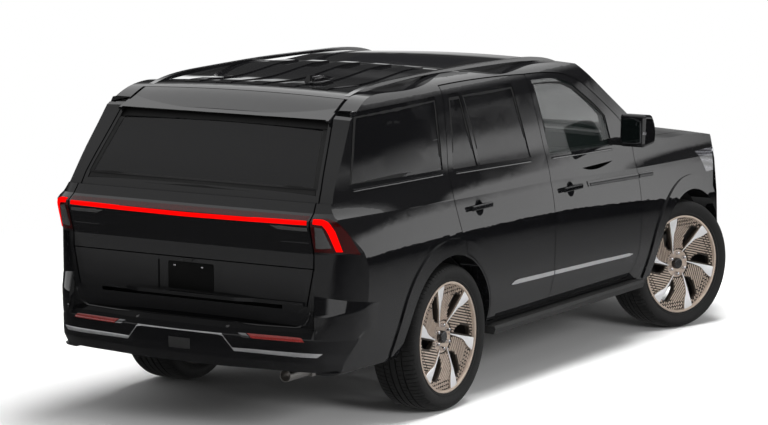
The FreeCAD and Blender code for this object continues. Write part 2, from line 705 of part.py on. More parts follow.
def well_liner(axle_x, radius, y_inner, y_outer):
    ring = across(axle_x, tyre_radius, radius + liner_thickness, y_inner - liner_thickness, y_outer)
    ring = ring.cut(across(axle_x, tyre_radius, radius, y_inner, far))
    ring = ring.cut(across(axle_x, tyre_radius, axle_room, 0, far))
    return ring.common(block(-far, far, 0, far, tyre_radius, height))


rear_liner = well_liner(rear_axle_x, wheel_well_rear, wide(0.6318), wide(0.8588)).cut(body_side)
front_liner = well_liner(front_axle_x, wheel_well_front, wide(0.4886), wide(0.9181))
front_liner = front_liner.cut([front_fender, body_side, front_bumper])
wheel_liners = Part.makeCompound([rear_liner, front_liner])
fuel_hinge = block(at(-0.085), at(-0.0803), wide(0.9358), wide(0.9615), high(0.5663), high(0.5811))
body_side_left = body_side.cut(pocket).fuse(fuel_hinge)

save("front_door_left", front_door)
save("front_door_right", mirror(front_door))
save("rear_door_left", rear_door)
save("rear_door_right", mirror(rear_door))
save("front_glass_left", panes[0])
save("front_glass_right", mirror(panes[0]))
rear_panes = Part.makeCompound(panes[1:3])
save("rear_glass_left", rear_panes)
save("rear_glass_right", mirror(rear_panes))
save("quarter_glass", both(panes[3]))
save("windshield", windshield)
save("liftgate", liftgate)
save("liftgate_glass", gate_glass)
save("light_bar", light_bar)
save("tailgate", tailgate)
save("hood", hood)
save("cowl", cowl)
save("front_fenders", both(front_fender))
save("front_bumper", front_bumper)
save("headlamps", both(headlamp))
save("rear_bumper", rear_bumper)
save("tail_lamps", both(tail_lamp))
save("roof", roof)
save("sunroof_glass", sunroof_glass)
save("body_sides", Part.makeCompound([body_side_left, mirror(body_side)]))
save("rear_panel", rear_panel)
save("fuel_door", fuel_door)
save("wheel_liners", both(wheel_liners))

# Running gear
tyre_half = tyre_width / 2
tread_shares = [(-0.786, 0.7375), (-0.8561, 0.778), (-0.9825, 0.8401), (-1.0, 0.8926),
                (-0.9544, 0.9499), (-0.8281, 0.9857), (-0.4211, 0.9976), (0.0, 1.0),
                (0.4211, 0.9976), (0.8281, 0.9857), (0.9544, 0.9499), (1.0, 0.8926),
                (0.9825, 0.8401), (0.8561, 0.778), (0.786, 0.7375)]
barrel_shares = [(-0.8912, 0.7613), (-0.8912, 0.7064), (-0.4211, 0.6921), (0.4211, 0.6921),
                 (0.8912, 0.7303), (0.8912, 0.7613), (0.8351, 0.7613), (0.786, 0.7327),
                 (-0.786, 0.7327), (-0.8351, 0.7613)]
# Recessed face of the rim, and the layer that the blades stand out to
face_shares = [(0.1404, 0.0), (0.1404, 0.21), (0.4211, 0.2387), (0.5895, 0.716), (0.7509, 0.7327),
               (0.6947, 0.4296), (0.5895, 0.2148), (0.5895, 0.0)]
blade_layer_shares = [(0.4211, 0.1862), (0.5895, 0.7303), (0.8421, 0.7303), (0.7649, 0.4296),
                      (0.6456, 0.2148),
                      (0.6316, 0.1862)]
# Radius and bearing of the corners of one blade and of the window beside it
blade_count = 6
blade_corners = [(0.1909, -39.0), (0.7208, -24.0), (0.7255, -17.0), (0.7208, -9.5), (0.4415, -19.5),
                 (0.2864, -27.0), (0.1909, -29.0)]
window_corners = [(0.2959, -37.5), (0.611, -27.5), (0.6277, -32.0), (0.611, -37.5), (0.3866, -46.5),
                  (0.3126, -45.0)]
cap_face_share = 0.6877
lug_face_share = 0.7088


def turned(shares):
    ring = [Vector(0, w * tyre_half, r * tyre_radius) for w, r in shares]
    face = Part.Face(Part.makePolygon(ring + ring[:1]))
    return face.revolve(Vector(0, 0, 0), Vector(0, 1, 0), 360)


def face_prism(corners, turn, low, tall):
    """Outline on the wheel's face, (radius share, bearing), pushed outwards."""
    ring = []
    for share, bearing in corners:
        angle = math.radians(bearing + turn)
        ring.append(Vector(share * tyre_radius * math.sin(angle), low, share * tyre_radius * math.cos(angle)))
    return Part.Face(Part.makePolygon(ring + ring[:1])).extrude(Vector(0, tall, 0))


def wheel_parts():
    tyre = turned(tread_shares)
    face = turned(face_shares)
    blade_layer = turned(blade_layer_shares)
    pieces = [turned(barrel_shares)]
    nut_low = face_shares[0][0] * tyre_half
    for number in range(blade_count):
        turn = 360.0 * number / blade_count
        face = face.cut(face_prism(window_corners, turn, 0, tyre_width))
        pieces.append(face_prism(blade_corners, turn, 0, tyre_width).common(blade_layer))
        angle = math.radians(turn)
        lug_place = Vector(lug_circle * math.sin(angle), nut_low, lug_circle * math.cos(angle))
        pieces.append(Part.makeCylinder(lug_radius, lug_face_share * tyre_half - nut_low,
                                        lug_place, Vector(0, 1, 0)))
    pieces.append(Part.makeCylinder(cap_radius, cap_face_share * tyre_half, Vector(0, 0, 0), Vector(0, 1, 0)))
    disc_low = -disc_thickness - hub_radius / 4
    pieces.append(Part.makeCylinder(disc_radius, disc_thickness, Vector(0, disc_low, 0), Vector(0, 1, 0)))
    pieces.append(Part.makeCylinder(hub_radius, hub_radius, Vector(0, -hub_radius / 2, 0), Vector(0, 1, 0)))
    return tyre, fused([face] + pieces)


def placed(shape, x, y):
    moved = shape.copy()
    moved.translate(Vector(x, y, tyre_radius))
    return moved


def steered(shape, side):
    """Front wheel parts, turned to the right about their kingpin."""
    moved = shape.copy()
    moved.rotate(Vector(front_axle_x, side * kingpin_half, 0), Vector(0, 0, 1), -steer_at_rest)
    return moved


tyre, rim = wheel_parts()
for part, shape in (("tyre", tyre), ("rim", rim)):
    front = placed(shape, front_axle_x, half_track)
    rear = placed(shape, rear_axle_x, half_track)
    save("front_" + part + "_left", steered(front, 1))
    save("front_" + part + "_right", steered(mirror(front), -1))
    save("rear_" + part + "_left", rear)
    save("rear_" + part + "_right", mirror(rear))

# Steering knuckle, inside the rim
hub_face = half_track - disc_thickness - hub_radius / 4
knuckle = block(front_axle_x - knuckle_half, front_axle_x + knuckle_half, knuckle_y, knuckle_y + knuckle_half,
                tyre_radius - knuckle_height / 2, tyre_radius + knuckle_height / 2)
stub = across(front_axle_x, tyre_radius, stub_radius, knuckle_y, hub_face - running_gap)
kingpin = Part.makeCylinder(kingpin_radius, knuckle_height,
                            Vector(front_axle_x, kingpin_half, tyre_radius - knuckle_height / 2),
                            Vector(0, 0, 1))
caliper_length = 190.0
caliper_reach = 208.0
caliper = block(front_axle_x + caliper_reach - knuckle_half * 2, front_axle_x + caliper_reach,
                knuckle_y + knuckle_half / 2, hub_face + disc_thickness + knuckle_half / 2,
                tyre_radius - caliper_length / 2, tyre_radius + caliper_length / 2)
rotor_room = across(front_axle_x, tyre_radius, disc_radius + panel_gap, hub_face - panel_gap,
                    hub_face + disc_thickness + panel_gap)
bracket = block(front_axle_x, front_axle_x + caliper_reach - knuckle_half, knuckle_y + knuckle_half / 2,
                knuckle_y + knuckle_half, tyre_radius - knuckle_half, tyre_radius + knuckle_half)
knuckle = fused([knuckle, stub, kingpin, bracket, caliper.cut(rotor_room)])
save("knuckle_left", steered(knuckle, 1))
save("knuckle_right", steered(mirror(knuckle), -1))

# Ladder frame
rail_end_share = -0.3262
rail_shares = [(rail_end_share, 0.3658), (0.1382, 0.3658), (0.2057, 0.2368), (0.7969, 0.2368),
               (0.8837, 0.2868), (1.2082, 0.2868), (1.2082, 0.2211), (0.8933, 0.2211),
               (0.8098, 0.1737), (0.1928, 0.1737), (0.1285, 0.3042), (rail_end_share, 0.3042)]
rail = side_prism(straight(rail_shares), rail_half - rail_depth / 2, rail_half + rail_depth / 2)
crossings = [(-0.3149, 0.3353), (-0.0643, 0.3353), (0.0964, 0.3353), (0.7391, 0.2053),
             (1.2018, 0.2542)]
frame = [rail, mirror(rail)]
for x, z in crossings:
    frame.append(across(at(x), high(z), tube_radius, -rail_half, rail_half))
frame = fused(frame)
save("frame", frame)
save("firewall", firewall.cut(frame))
save("floor", floor.cut(frame))

# Front suspension: two arms a side that hold the kingpin, on a tower at the rail
arm_half = 38.0
arm_thickness = 28.0
arm_in = rail_half + rail_depth / 2
arm_gap = knuckle_height / 2 + running_gap
arm_taper = 76.0
arms = []
for low in (tyre_radius - arm_gap - arm_thickness, tyre_radius + arm_gap):
    side_points = [(arm_half, arm_in), (arm_half, kingpin_half - arm_taper), (kingpin_radius, kingpin_half)]
    outline = [Vector(front_axle_x + x, y, low) for x, y in side_points]
    outline += [Vector(front_axle_x - x, y, low) for x, y in side_points[::-1]]
    arms.append(Part.Face(Part.makePolygon(outline + outline[:1])).extrude(Vector(0, 0, arm_thickness)))
    arms.append(Part.makeCylinder(kingpin_radius, arm_thickness, Vector(front_axle_x, kingpin_half, low)))
tower = block(front_axle_x - arm_half, front_axle_x + arm_half, arm_in, arm_in + arm_thickness,
              tyre_radius - arm_gap, tyre_radius + arm_gap)
front_suspension = both(fused(arms + [tower]))
save("front_suspension", front_suspension)

# Rear suspension: differential, half shafts, arms and hub carriers
diff_half = 120.0
shaft_radius = 22.0
carrier_in = 700.0
differential = across(rear_axle_x, tyre_radius, diff_half, -diff_half, diff_half)
carrier = block(rear_axle_x - knuckle_half, rear_axle_x + knuckle_half, carrier_in, carrier_in + knuckle_half,
                tyre_radius - knuckle_height / 2, tyre_radius + knuckle_height / 2)
stub = across(rear_axle_x, tyre_radius, stub_radius, carrier_in, hub_face - running_gap)
half_shaft = across(rear_axle_x, tyre_radius, shaft_radius, 0, carrier_in + knuckle_half)
rear_arm = block(rear_axle_x - arm_half, rear_axle_x + arm_half, 0, carrier_in + knuckle_half,
                 high(0.1642), high(0.1789))
strut = rod(Vector(rear_axle_x, rail_half, high(0.1737)),
            Vector(rear_axle_x, rail_half, high(0.3042)), tube_radius)
side_rear = fused([carrier, stub, half_shaft, rear_arm, strut])
rear_suspension = fused([differential, side_rear, mirror(side_rear)])
save("rear_suspension", rear_suspension)

# Engine and gearbox as one plain block, with the propeller shaft
engine = block(at(0.874), at(1.1183), -wide(0.2863), wide(0.2863), high(0.2105), high(0.5579))
gearbox = block(at(0.6041), at(0.874), -wide(0.1481), wide(0.1481), high(0.1632), high(0.2347))
prop_shaft = rod(Vector(at(0.6041), 0, high(0.2026)), Vector(rear_axle_x, 0, tyre_radius), tube_radius)
prop_shaft = prop_shaft.cut(across(rear_axle_x, tyre_radius, diff_half + seat_clearance, -far, far))
crossing_room = across(at(0.7391), high(0.2053), tube_radius, -far, far)
powertrain = fused([engine, gearbox.cut(crossing_room), prop_shaft])
save("powertrain", powertrain)
radiator = block(at(1.1938), at(1.2098), -wide(0.3653), wide(0.3653), high(0.2632), high(0.5474))
radiator = radiator.cut(frame)
save("radiator", radiator)

# Exhaust down the right side, muffler beside the spare wheel, one outlet
pipe_shares = [(0.5913, -0.2468, 0.1958), (0.2057, -0.2962, 0.1958), (0.1253, -0.3208, 0.2526),
               (0.0578, -0.5331, 0.2763), (-0.0482, -0.5331, 0.2763), (-0.1671, -0.538, 0.2211)]
pipe_points = [Vector(at(x), wide(y), high(z)) for x, y, z in pipe_shares]
exhaust = []
for start, end in zip(pipe_points, pipe_points[1:]):
    exhaust.append(rod(start, end, tube_radius))
    exhaust.append(Part.makeSphere(tube_radius, end))
muffler = block(at(-0.2892), at(-0.1575), -wide(0.6367), -wide(0.4689), high(0.1642), high(0.2474))
outlet_y = -wide(0.5982)
outlet_z = high(0.1832)
outlet = rod(Vector(at(-0.2828), outlet_y, outlet_z), Vector(at(-0.3573), outlet_y, outlet_z), exhaust_radius)
outlet_bore = rod(Vector(at(-0.3342), outlet_y, outlet_z), Vector(at(-0.3728), outlet_y, outlet_z),
                  exhaust_bore)
hanger_y = -wide(0.538)
muffler_hanger = rod(Vector(at(-0.2121), hanger_y, high(0.2421)),
                     Vector(at(-0.2121), hanger_y, high(load_under_share)), stub_radius / 3)
exhaust = fused(exhaust + [muffler, outlet, muffler_hanger]).cut(outlet_bore)
save("exhaust", exhaust)
fuel_tank = block(at(0.2249), at(0.4627), wide(0.0691), wide(0.3603), high(0.1526), high(0.2411))
save("fuel_tank", fuel_tank)
spare = Part.makeCylinder(spare_radius, spare_width, Vector(at(-0.2121), 0, high(0.1879)), Vector(0, 0, 1))
spare = spare.makeFillet(spare_width / 4, [e for e in spare.Edges if e.Length > spare_radius * 4])
hanger = Part.makeCylinder(tube_radius, high(load_under_share) - high(0.1879) - spare_width,
                           Vector(at(-0.2121), 0, high(0.1879) + spare_width), Vector(0, 0, 1))
save("spare_wheel", spare.fuse(hanger))

# Side steps under the doors, on brackets from the rails
step_points = [(0.8509, 0.2116), (0.9872, 0.2142), (0.9951, 0.2053), (0.9832, 0.1879), (0.8509, 0.1937)]
step = front_prism(step_points, at(0.1607), at(0.7821))
brackets = [block(at(x), at(x) + step_thickness, arm_in, wide(0.8588), high(0.1958), high(0.2084))
            for x in (0.2249, 0.4659, 0.7069)]
save("side_steps", both(fused([step] + brackets)))

# Roof rails on feet
roof_rail_shares = [[(-0.1799, 0.9589)],
                    [(-0.135, 0.9737), (0.0, 0.9874), (0.1799, 0.9926), (0.4177, 0.9895),
                     (0.527, 0.9811), (0.6041, 0.9537)], [(0.5945, 0.9474)],
                    [(0.5141, 0.9716), (0.4177, 0.98), (0.1799, 0.9832), (0.0, 0.9779),
                     (-0.135, 0.9642)]]
rail_bar = side_prism(roof_rail_shares, wide(0.6318), wide(0.6318) + rail_bar_width)
save("roof_rails", both(rail_bar).cut(crowned_volume(roof_shares, cabin_base_share, -seat_clearance)))

# Cabin
seat_shares = [[(0.0, 0.0)], [(0.1671, 0.0)], [(0.1751, 0.0421), (0.1671, 0.0789)],
               [(0.0964, 0.0737), (0.0386, 0.0684)],
               [(0.0193, 0.1579), (-0.0064, 0.2947), (-0.0225, 0.3842)],
               [(-0.0321, 0.4), (-0.0482, 0.3895)], [(-0.0418, 0.2632), (-0.0193, 0.0526)]]


def seat(x, y, z, width, depth_scale=1.0, base=0.0):
    chains = [[(x + px * depth_scale, z + pz) for px, pz in chain] for chain in seat_shares]
    body = side_prism(chains, y - width / 2, y + width / 2)
    head = block(at(x - 0.0562 * depth_scale), at(x - 0.0273 * depth_scale), y - width / 4, y + width / 4,
                 high(z + 0.4053), high(z + 0.4842))
    head = head.makeFillet(seat_round / 2, head.Edges)
    post = block(at(x - 0.0434 * depth_scale), at(x - 0.037 * depth_scale), y - width / 8, y + width / 8,
                 high(z + 0.3684), high(z + 0.4105))
    parts = [body, head, post]
    if base:
        parts.append(block(at(x + 0.0064), at(x + 0.1414), y - width / 3, y + width / 3, high(base),
                           high(z + 0.0211)))
    return fused(parts)


front_seat = seat(0.5527, wide(0.3949), 0.3368, seat_width, 1.0, cabin_floor_share)
save("front_seats", both(front_seat))
middle_seat = seat(0.2506, wide(0.3949), 0.3421, seat_width, 1.0, cabin_floor_share)
save("second_row_seats", both(middle_seat))
rear_seat = seat(-0.0418, wide(0.2962), load_floor_share + seat_clearance / height, seat_width, 0.86)
save("third_row_seats", both(rear_seat))
console = block(at(0.5302), at(0.7294), -wide(0.1135), wide(0.1135), high(cabin_floor_share), high(0.4053))
console_edges = [e for e in console.Edges if e.BoundBox.ZMin > high(0.3684)]
save("console", console.makeFillet(seat_round / 2, console_edges))
dash_shares = [[(0.8014, 0.4421)], [(0.8014, 0.6211)],
               [(0.7841, 0.6342), (0.7487, 0.6316), (0.7262, 0.6053)],
               [(0.7343, 0.5158)], [(0.768, 0.4421)]]
dashboard = side_in_low.common(side_prism(dash_shares, -far, far))

# Steering wheel, turned with the front wheels, on a column from the dashboard
tilt = math.radians(column_tilt)
axis = Vector(-math.cos(tilt), 0, math.sin(tilt))
wheel_up = Vector(math.sin(tilt), 0, math.cos(tilt))
wheel_centre = Vector(at(0.678), wide(0.3949), high(0.5579))
grip = Part.makeTorus(wheel_grip_radius, wheel_grip_tube, wheel_centre, axis)
boss_radius = 62.0
boss = Part.makeCylinder(boss_radius, boss_radius, wheel_centre - axis * boss_radius * 0.7, axis)
spoke_base = wheel_centre - axis * wheel_grip_tube / 2
spokes = []
for angle in (0.0, 180.0, 270.0):
    bearing = math.radians(angle)
    direction = Vector(0, math.cos(bearing), 0) + wheel_up * math.sin(bearing)
    spokes.append(rod(spoke_base, spoke_base + direction * wheel_grip_radius, wheel_grip_tube * 0.8))
column_end = wheel_centre - axis * column_length / 2
steering_wheel = fused([grip, boss, rod(wheel_centre, column_end, column_radius)] + spokes)
steering_wheel.rotate(wheel_centre, axis, -steer_at_rest * steering_ratio)
save("steering_wheel", steering_wheel)
column = rod(column_end - axis * running_gap, column_end - axis * column_length, column_radius)
save("dashboard", fused([dashboard, column]))

# Side mirrors on the front doors
mirror_points = [[(0.7037, 0.6895)], [(0.7069, 0.7368), (0.6909, 0.7842)], [(0.6555, 0.7905)],
                 [(0.6523, 0.6816)]]
housing = side_prism(mirror_points, wide(1.0049), wide(1.1747))
housing = housing.makeFillet(mirror_round, housing.Edges)
arm = side_prism(straight([(0.6973, 0.6842), (0.6973, 0.7026), (0.662, 0.7026), (0.662, 0.6842)]),
                 wide(0.9131), wide(1.0168))
side_mirror = fused([housing, arm.cut(side_volume(0))])
save("mirror_left", side_mirror)
save("mirror_right", mirror(side_mirror))

# Grille: upright bars in a frame
grille_back = lower_volume(glass_inset).cut(lower_volume(bumper_wall - glass_inset))
bars = []
bar_count = 24
bar_width = 12.0
grille_span = 2 * (grille_half - glass_inset)
for number in range(bar_count + 1):
    y = -grille_half + glass_inset + grille_span * number / bar_count
    bars.append(block(at(1.1568), far, y - bar_width / 2, y + bar_width / 2, grille_low, grille_high))
for z in (grille_low + bar_width, (grille_low + grille_high) / 2, grille_high - bar_width):
    bars.append(block(at(1.1568), far, -grille_half, grille_half, z - bar_width, z + bar_width))
grille = grille_back.common(fused(bars)).common(grille_hole)
save("grille", grille)
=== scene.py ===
# %% [markdown]
# # A large black family SUV
# The solids come from the CAD frame, in metres, with X forward, Y to the left side and Z up.
# This lesson gives each solid its real finish, and adds the parts that a solid leaves plain:
# wheels and tyres, lamps, bright trim, padded seats and the things seen through the glass.

# %% Load the frame
import math

import bmesh
import bpy
from mathutils import Matrix, Vector


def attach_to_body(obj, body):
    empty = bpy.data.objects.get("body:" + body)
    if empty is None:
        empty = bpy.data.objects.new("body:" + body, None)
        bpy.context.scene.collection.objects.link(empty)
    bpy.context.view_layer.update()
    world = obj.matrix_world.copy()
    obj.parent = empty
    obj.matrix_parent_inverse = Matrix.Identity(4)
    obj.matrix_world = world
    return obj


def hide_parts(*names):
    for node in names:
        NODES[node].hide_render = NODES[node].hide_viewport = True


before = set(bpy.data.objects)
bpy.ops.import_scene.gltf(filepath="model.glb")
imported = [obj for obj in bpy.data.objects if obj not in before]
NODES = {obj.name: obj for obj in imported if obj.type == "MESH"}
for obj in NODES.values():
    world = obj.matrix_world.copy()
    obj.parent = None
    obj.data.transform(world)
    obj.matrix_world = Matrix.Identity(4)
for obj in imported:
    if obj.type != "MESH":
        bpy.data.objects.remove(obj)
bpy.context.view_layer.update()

REAR_AXLE = -1.421
FRONT_AXLE = 1.691

# %% [markdown]
# ## Shader arithmetic
# A finish on a real car is never one flat colour, so each material works out small changes of
# colour, roughness and height. One class wraps a socket, so that such a change reads as plain
# arithmetic, and one class holds a material and adds its nodes.


# %% Wrap a shader socket
class Signal:
    """A socket of a shader node that can be added, multiplied and compared."""

    def __init__(self, finish, socket):
        self.finish = finish
        self.socket = socket

    def _maths(self, operation, first, second=0.0):
        return self.finish.node("Math", {"operation": operation}, {0: first, 1: second})

    def __add__(self, other):
        return self._maths("ADD", self, other)

    __radd__ = __add__

    def __mul__(self, other):
        return self._maths("MULTIPLY", self, other)

    __rmul__ = __mul__

    def __sub__(self, other):
        return self._maths("SUBTRACT", self, other)

    def __rsub__(self, other):
        return self._maths("SUBTRACT", other, self)

    def __gt__(self, other):
        return self._maths("GREATER_THAN", self, other)

    def __abs__(self):
        return self._maths("ABSOLUTE", self)


class Finish:
    """One material: its Principled shader and the nodes that vary it."""

    def __init__(self, name, color, roughness, metallic=0.0, **constants):
        self.material = bpy.data.materials.new(name)
        self.material.use_nodes = True
        self.tree = self.material.node_tree
        self.shader = next(n for n in self.tree.nodes if n.type == "BSDF_PRINCIPLED")
        self.material.diffuse_color = (*color, 1.0)
        self.set("Base Color", (*color, 1.0))
        self.set("Roughness", roughness)
        self.set("Metallic", metallic)
        for key, value in constants.items():
            self.set(key.replace("_", " "), value)

    def set(self, name, value):
        self.link(self.shader.inputs[name], value)

    def link(self, socket, value):
        if isinstance(value, Signal):
            self.tree.links.new(value.socket, socket)
        else:
            socket.default_value = value

    def node(self, kind, settings=None, inputs=None, output=0):
        made = self.tree.nodes.new("ShaderNode" + kind)
        for key, value in (settings or {}).items():
            setattr(made, key, value)
        for key, value in (inputs or {}).items():
            self.link(made.inputs[key], value)
        return Signal(self, made.outputs[output])

    def place(self):
        return self.node("TexCoord", output=3)

    def noise(self, scale, detail=2.0, stretch=None):
        where = self.place()
        if stretch:
            where = self.node("Mapping", {}, {"Vector": where, "Scale": stretch})
        return self.node("TexNoise", {}, {"Vector": where, "Scale": scale, "Detail": detail})

    def cells(self, scale):
        """Small round cells, as in grained plastic, leather or a reflector's prisms."""
        return self.node("TexVoronoi", {}, {"Vector": self.place(), "Scale": scale})

    def bands(self, direction, scale):
        """Even bands across one axis, as in a fluted lens."""
        return self.node("TexWave", {"bands_direction": direction}, {"Vector": self.place(), "Scale": scale})

    def axis(self, which):
        return self.node("SeparateXYZ", {}, {0: self.place()}, which)

    def fade_out(self, near, far):
        """0 up to near metres from the middle of the car, 1 beyond far, even in between."""
        reach = self.node("VectorMath", {"operation": "LENGTH"}, {0: self.place()}, 1)
        return self.node("MapRange", {}, {"Value": reach, "From Min": near, "From Max": far})

    def blend(self, factor, first, second):
        return self.node(
            "Mix",
            {"data_type": "RGBA"},
            {"Factor": factor, 6: (*first, 1.0), 7: (*second, 1.0)},
            2,
        )

    def tone(self, factor, first, second):
        """Let the colour go from a first tone to a second one with a factor."""
        self.set("Base Color", self.blend(factor, first, second))

    def bump(self, height, distance, strength=1.0):
        self.set(
            "Normal",
            self.node("Bump", {}, {"Height": height, "Distance": distance, "Strength": strength}),
        )


# %% [markdown]
# ## Paint
# Black car paint is a dark base under a clear lacquer. The lacquer mirrors the room, and it is
# never quite flat: sprayed lacquer has a faint ripple. Principled's coat is that lacquer.

# %% Make the paint
PAINT_BLACK = (0.004, 0.004, 0.0045)


def lacquered(name):
    """Black paint under a clear lacquer with a faint ripple."""
    made = Finish(name, PAINT_BLACK,
                  roughness=0.30, Coat_Weight=1.0, Coat_Roughness=0.02, Specular_IOR_Level=0.0)
    made.bump(made.noise(160.0, 1.0), distance=0.00004, strength=0.4)
    return made


paint = lacquered("gloss_black_paint")
flake = paint.noise(900.0, 1.0)
paint.tone(flake, (0.0022, 0.0022, 0.0026), (0.0065, 0.0065, 0.007))
paint.set("Roughness", paint.noise(6.0) * 0.1 + 0.26)

trim_black = Finish(
    "gloss_black_trim", (0.0035, 0.0035, 0.004), roughness=0.12, Coat_Weight=0.5, Coat_Roughness=0.05
)
trim_black.set("Roughness", trim_black.noise(25.0) * 0.08 + 0.09)
trim_black.bump(trim_black.noise(220.0, 1.0), distance=0.00003, strength=0.3)
print("paints", paint.material.name, trim_black.material.name)

# %% [markdown]
# ## Glass
# The rear glass of this car is dyed very dark and the front side glass only lightly. Glass is a
# thin clear sheet, so Alpha lets the cabin show through, and a low roughness keeps its mirror.


# %% Make the glass
def glass(name, color, cover):
    """Dyed glass that covers a share of what lies behind it, with a little dust."""
    made = Finish(name, color, roughness=0.03, Specular_IOR_Level=0.45)
    dust = made.noise(9.0, 4.0)
    made.set("Alpha", dust * 0.05 + (cover - 0.03))
    made.set("Roughness", dust * 0.05 + 0.01)
    return made


privacy_glass = glass("privacy_glass", (0.003, 0.003, 0.0035), cover=0.90)
front_glass = glass("front_door_glass", (0.008, 0.012, 0.011), cover=0.42)
wind_glass = glass("windshield_glass", (0.010, 0.014, 0.013), cover=0.34)
roof_glass = glass("roof_glass", (0.003, 0.003, 0.004), cover=0.93)
print("glasses", [g.material.name for g in (privacy_glass, front_glass, wind_glass, roof_glass)])

# %% [markdown]
# ## Plastics, metals and rubber
# Grained plastic, cast iron, brushed steel and rubber each scatter light in their own way. The
# grain is a bump of the right size, and the roughness moves with it.

# %% Make the other finishes
plastic = Finish("grained_black_plastic", (0.012, 0.012, 0.012), roughness=0.55)
grain = plastic.cells(520.0)
plastic.tone(grain, (0.008, 0.008, 0.008), (0.02, 0.02, 0.02))
plastic.set("Roughness", grain * 0.2 + 0.48)
plastic.bump(grain, distance=0.0004, strength=0.6)

lining = Finish("felt_wheel_lining", (0.006, 0.006, 0.006), roughness=0.9)
lint = lining.noise(700.0, 4.0)
lining.tone(lint, (0.003, 0.003, 0.003), (0.012, 0.012, 0.012))
lining.bump(lint, distance=0.001, strength=0.7)

casting = Finish("cast_iron", (0.05, 0.05, 0.05), roughness=0.6, metallic=0.7)
pits = casting.noise(260.0, 5.0)
casting.tone(pits, (0.018, 0.017, 0.016), (0.075, 0.073, 0.07))
casting.set("Roughness", pits * 0.4 + 0.4)
casting.bump(pits, distance=0.0012, strength=0.7)

steel = Finish("exhaust_steel", (0.42, 0.41, 0.40), roughness=0.3, metallic=1.0)
brushed = steel.noise(60.0, 3.0, (1.0, 14.0, 14.0))
steel.tone(brushed, (0.26, 0.24, 0.22), (0.55, 0.54, 0.53))
steel.set("Roughness", brushed * 0.25 + 0.2)
steel.bump(brushed, distance=0.0002, strength=0.4)

bright = Finish("bright_trim", (0.62, 0.62, 0.64), roughness=0.16, metallic=1.0)
bright.set("Roughness", bright.noise(40.0) * 0.12 + 0.1)
bright.tone(bright.noise(12.0), (0.56, 0.56, 0.58), (0.68, 0.68, 0.70))

satin = Finish("satin_metal", (0.34, 0.34, 0.35), roughness=0.34, metallic=1.0)
streak = satin.noise(90.0, 3.0, (0.3, 8.0, 8.0))
satin.tone(streak, (0.28, 0.28, 0.29), (0.42, 0.42, 0.43))
satin.set("Roughness", streak * 0.18 + 0.26)

rubber = Finish("tyre_rubber", (0.007, 0.007, 0.007), roughness=0.62, Specular_IOR_Level=0.3)
bloom = rubber.noise(45.0, 5.0)
rubber.tone(bloom, (0.004, 0.004, 0.004), (0.010, 0.010, 0.010))
rubber.set("Roughness", bloom * 0.25 + 0.48)
rubber.bump(rubber.noise(900.0, 3.0), distance=0.0003, strength=0.5)

leather = Finish("black_leather", (0.012, 0.012, 0.012), roughness=0.45)
pebble = leather.cells(380.0)
leather.tone(pebble, (0.006, 0.006, 0.006), (0.022, 0.021, 0.020))
leather.set("Roughness", pebble * 0.25 + 0.35)
leather.bump(pebble, distance=0.0008, strength=0.6)

clear_lens = Finish("clear_lens", (0.06, 0.06, 0.065), roughness=0.06, Coat_Weight=1.0)
optic = clear_lens.bands("Y", 22.0)
clear_lens.tone(optic, (0.015, 0.015, 0.017), (0.11, 0.11, 0.12))
clear_lens.set("Roughness", optic * 0.12 + 0.04)
print("finishes", len(bpy.data.materials))

# %% [markdown]
# ## Finishes on the CAD solids
# A node whose shape is right only needs its finish, which goes into its material slots.

# %% Paint of the rear bumper, dull where its step pad is
STEP_PAD_FROM = 0.572
STEP_PAD_HALF = 0.80
step_paint = lacquered("bumper_paint")
step_pad = (step_paint.axis(2) > STEP_PAD_FROM) * (1.0 - (abs(step_paint.axis(1)) > STEP_PAD_HALF))
step_paint.set("Coat Weight", 1.0 - step_pad * 0.85)
step_paint.set("Roughness", step_pad * 0.3 + 0.28)

# %% Paint of the doors, plastic on their inside
DOOR_LINING_HALF = 0.925
DOOR_LINING_TOP = 1.24
door_paint = lacquered("door_paint")
lined = (1.0 - (abs(door_paint.axis(1)) > DOOR_LINING_HALF)) * (1.0 - (door_paint.axis(2) > DOOR_LINING_TOP))
door_paint.set("Coat Weight", 1.0 - lined)
door_paint.set("Roughness", lined * 0.28 + 0.28)
door_paint.tone(lined, PAINT_BLACK, (0.014, 0.014, 0.014))

# %% Give each node its finish
BY_FINISH = {
    door_paint: "front_door_left front_door_right rear_door_left rear_door_right",
    paint: "body_sides roof hood front_fenders rear_panel liftgate tailgate front_bumper "
    "fuel_door mirror_left mirror_right",
    step_paint: "rear_bumper",
    trim_black: "roof_rails",
    privacy_glass: "rear_glass_left rear_glass_right quarter_glass liftgate_glass",
    front_glass: "front_glass_left front_glass_right",
    wind_glass: "windshield",
    roof_glass: "sunroof_glass",
    clear_lens: "headlamps",
    plastic: "cowl firewall frame console dashboard radiator fuel_tank side_steps",
    lining: "wheel_liners floor",
    casting: "front_suspension rear_suspension knuckle_left knuckle_right powertrain",
    steel: "exhaust",
    bright: "grille",
    satin: "front_rim_left front_rim_right rear_rim_left rear_rim_right",
    rubber: "front_tyre_left front_tyre_right rear_tyre_left rear_tyre_right spare_wheel",
    leather: "front_seats second_row_seats third_row_seats steering_wheel",
}


def dress(piece, *finishes):
    """Put finishes into a piece's material slots, in this order."""
    piece.data.materials.clear()
    for finish in finishes:
        piece.data.materials.append(finish.material)


for finish, names in BY_FINISH.items():
    for name in names.split():
        dress(NODES[name], finish)
print("dressed", sum(len(names.split()) for names in BY_FINISH.values()), "of", len(NODES))

# %% [markdown]
# ## Wheels
# Each wheel is a cast alloy rim: a barrel, a recessed face with six windows, six twisted blades
# that are machined bright, and fine ribs cast into the face between them. It is modelled once,
# with its middle at the origin and its outer side up the Y axis, and copied to the four corners.

# %% Tools for making pieces
MM = 0.001
SMOOTH_BELOW = math.radians(30)


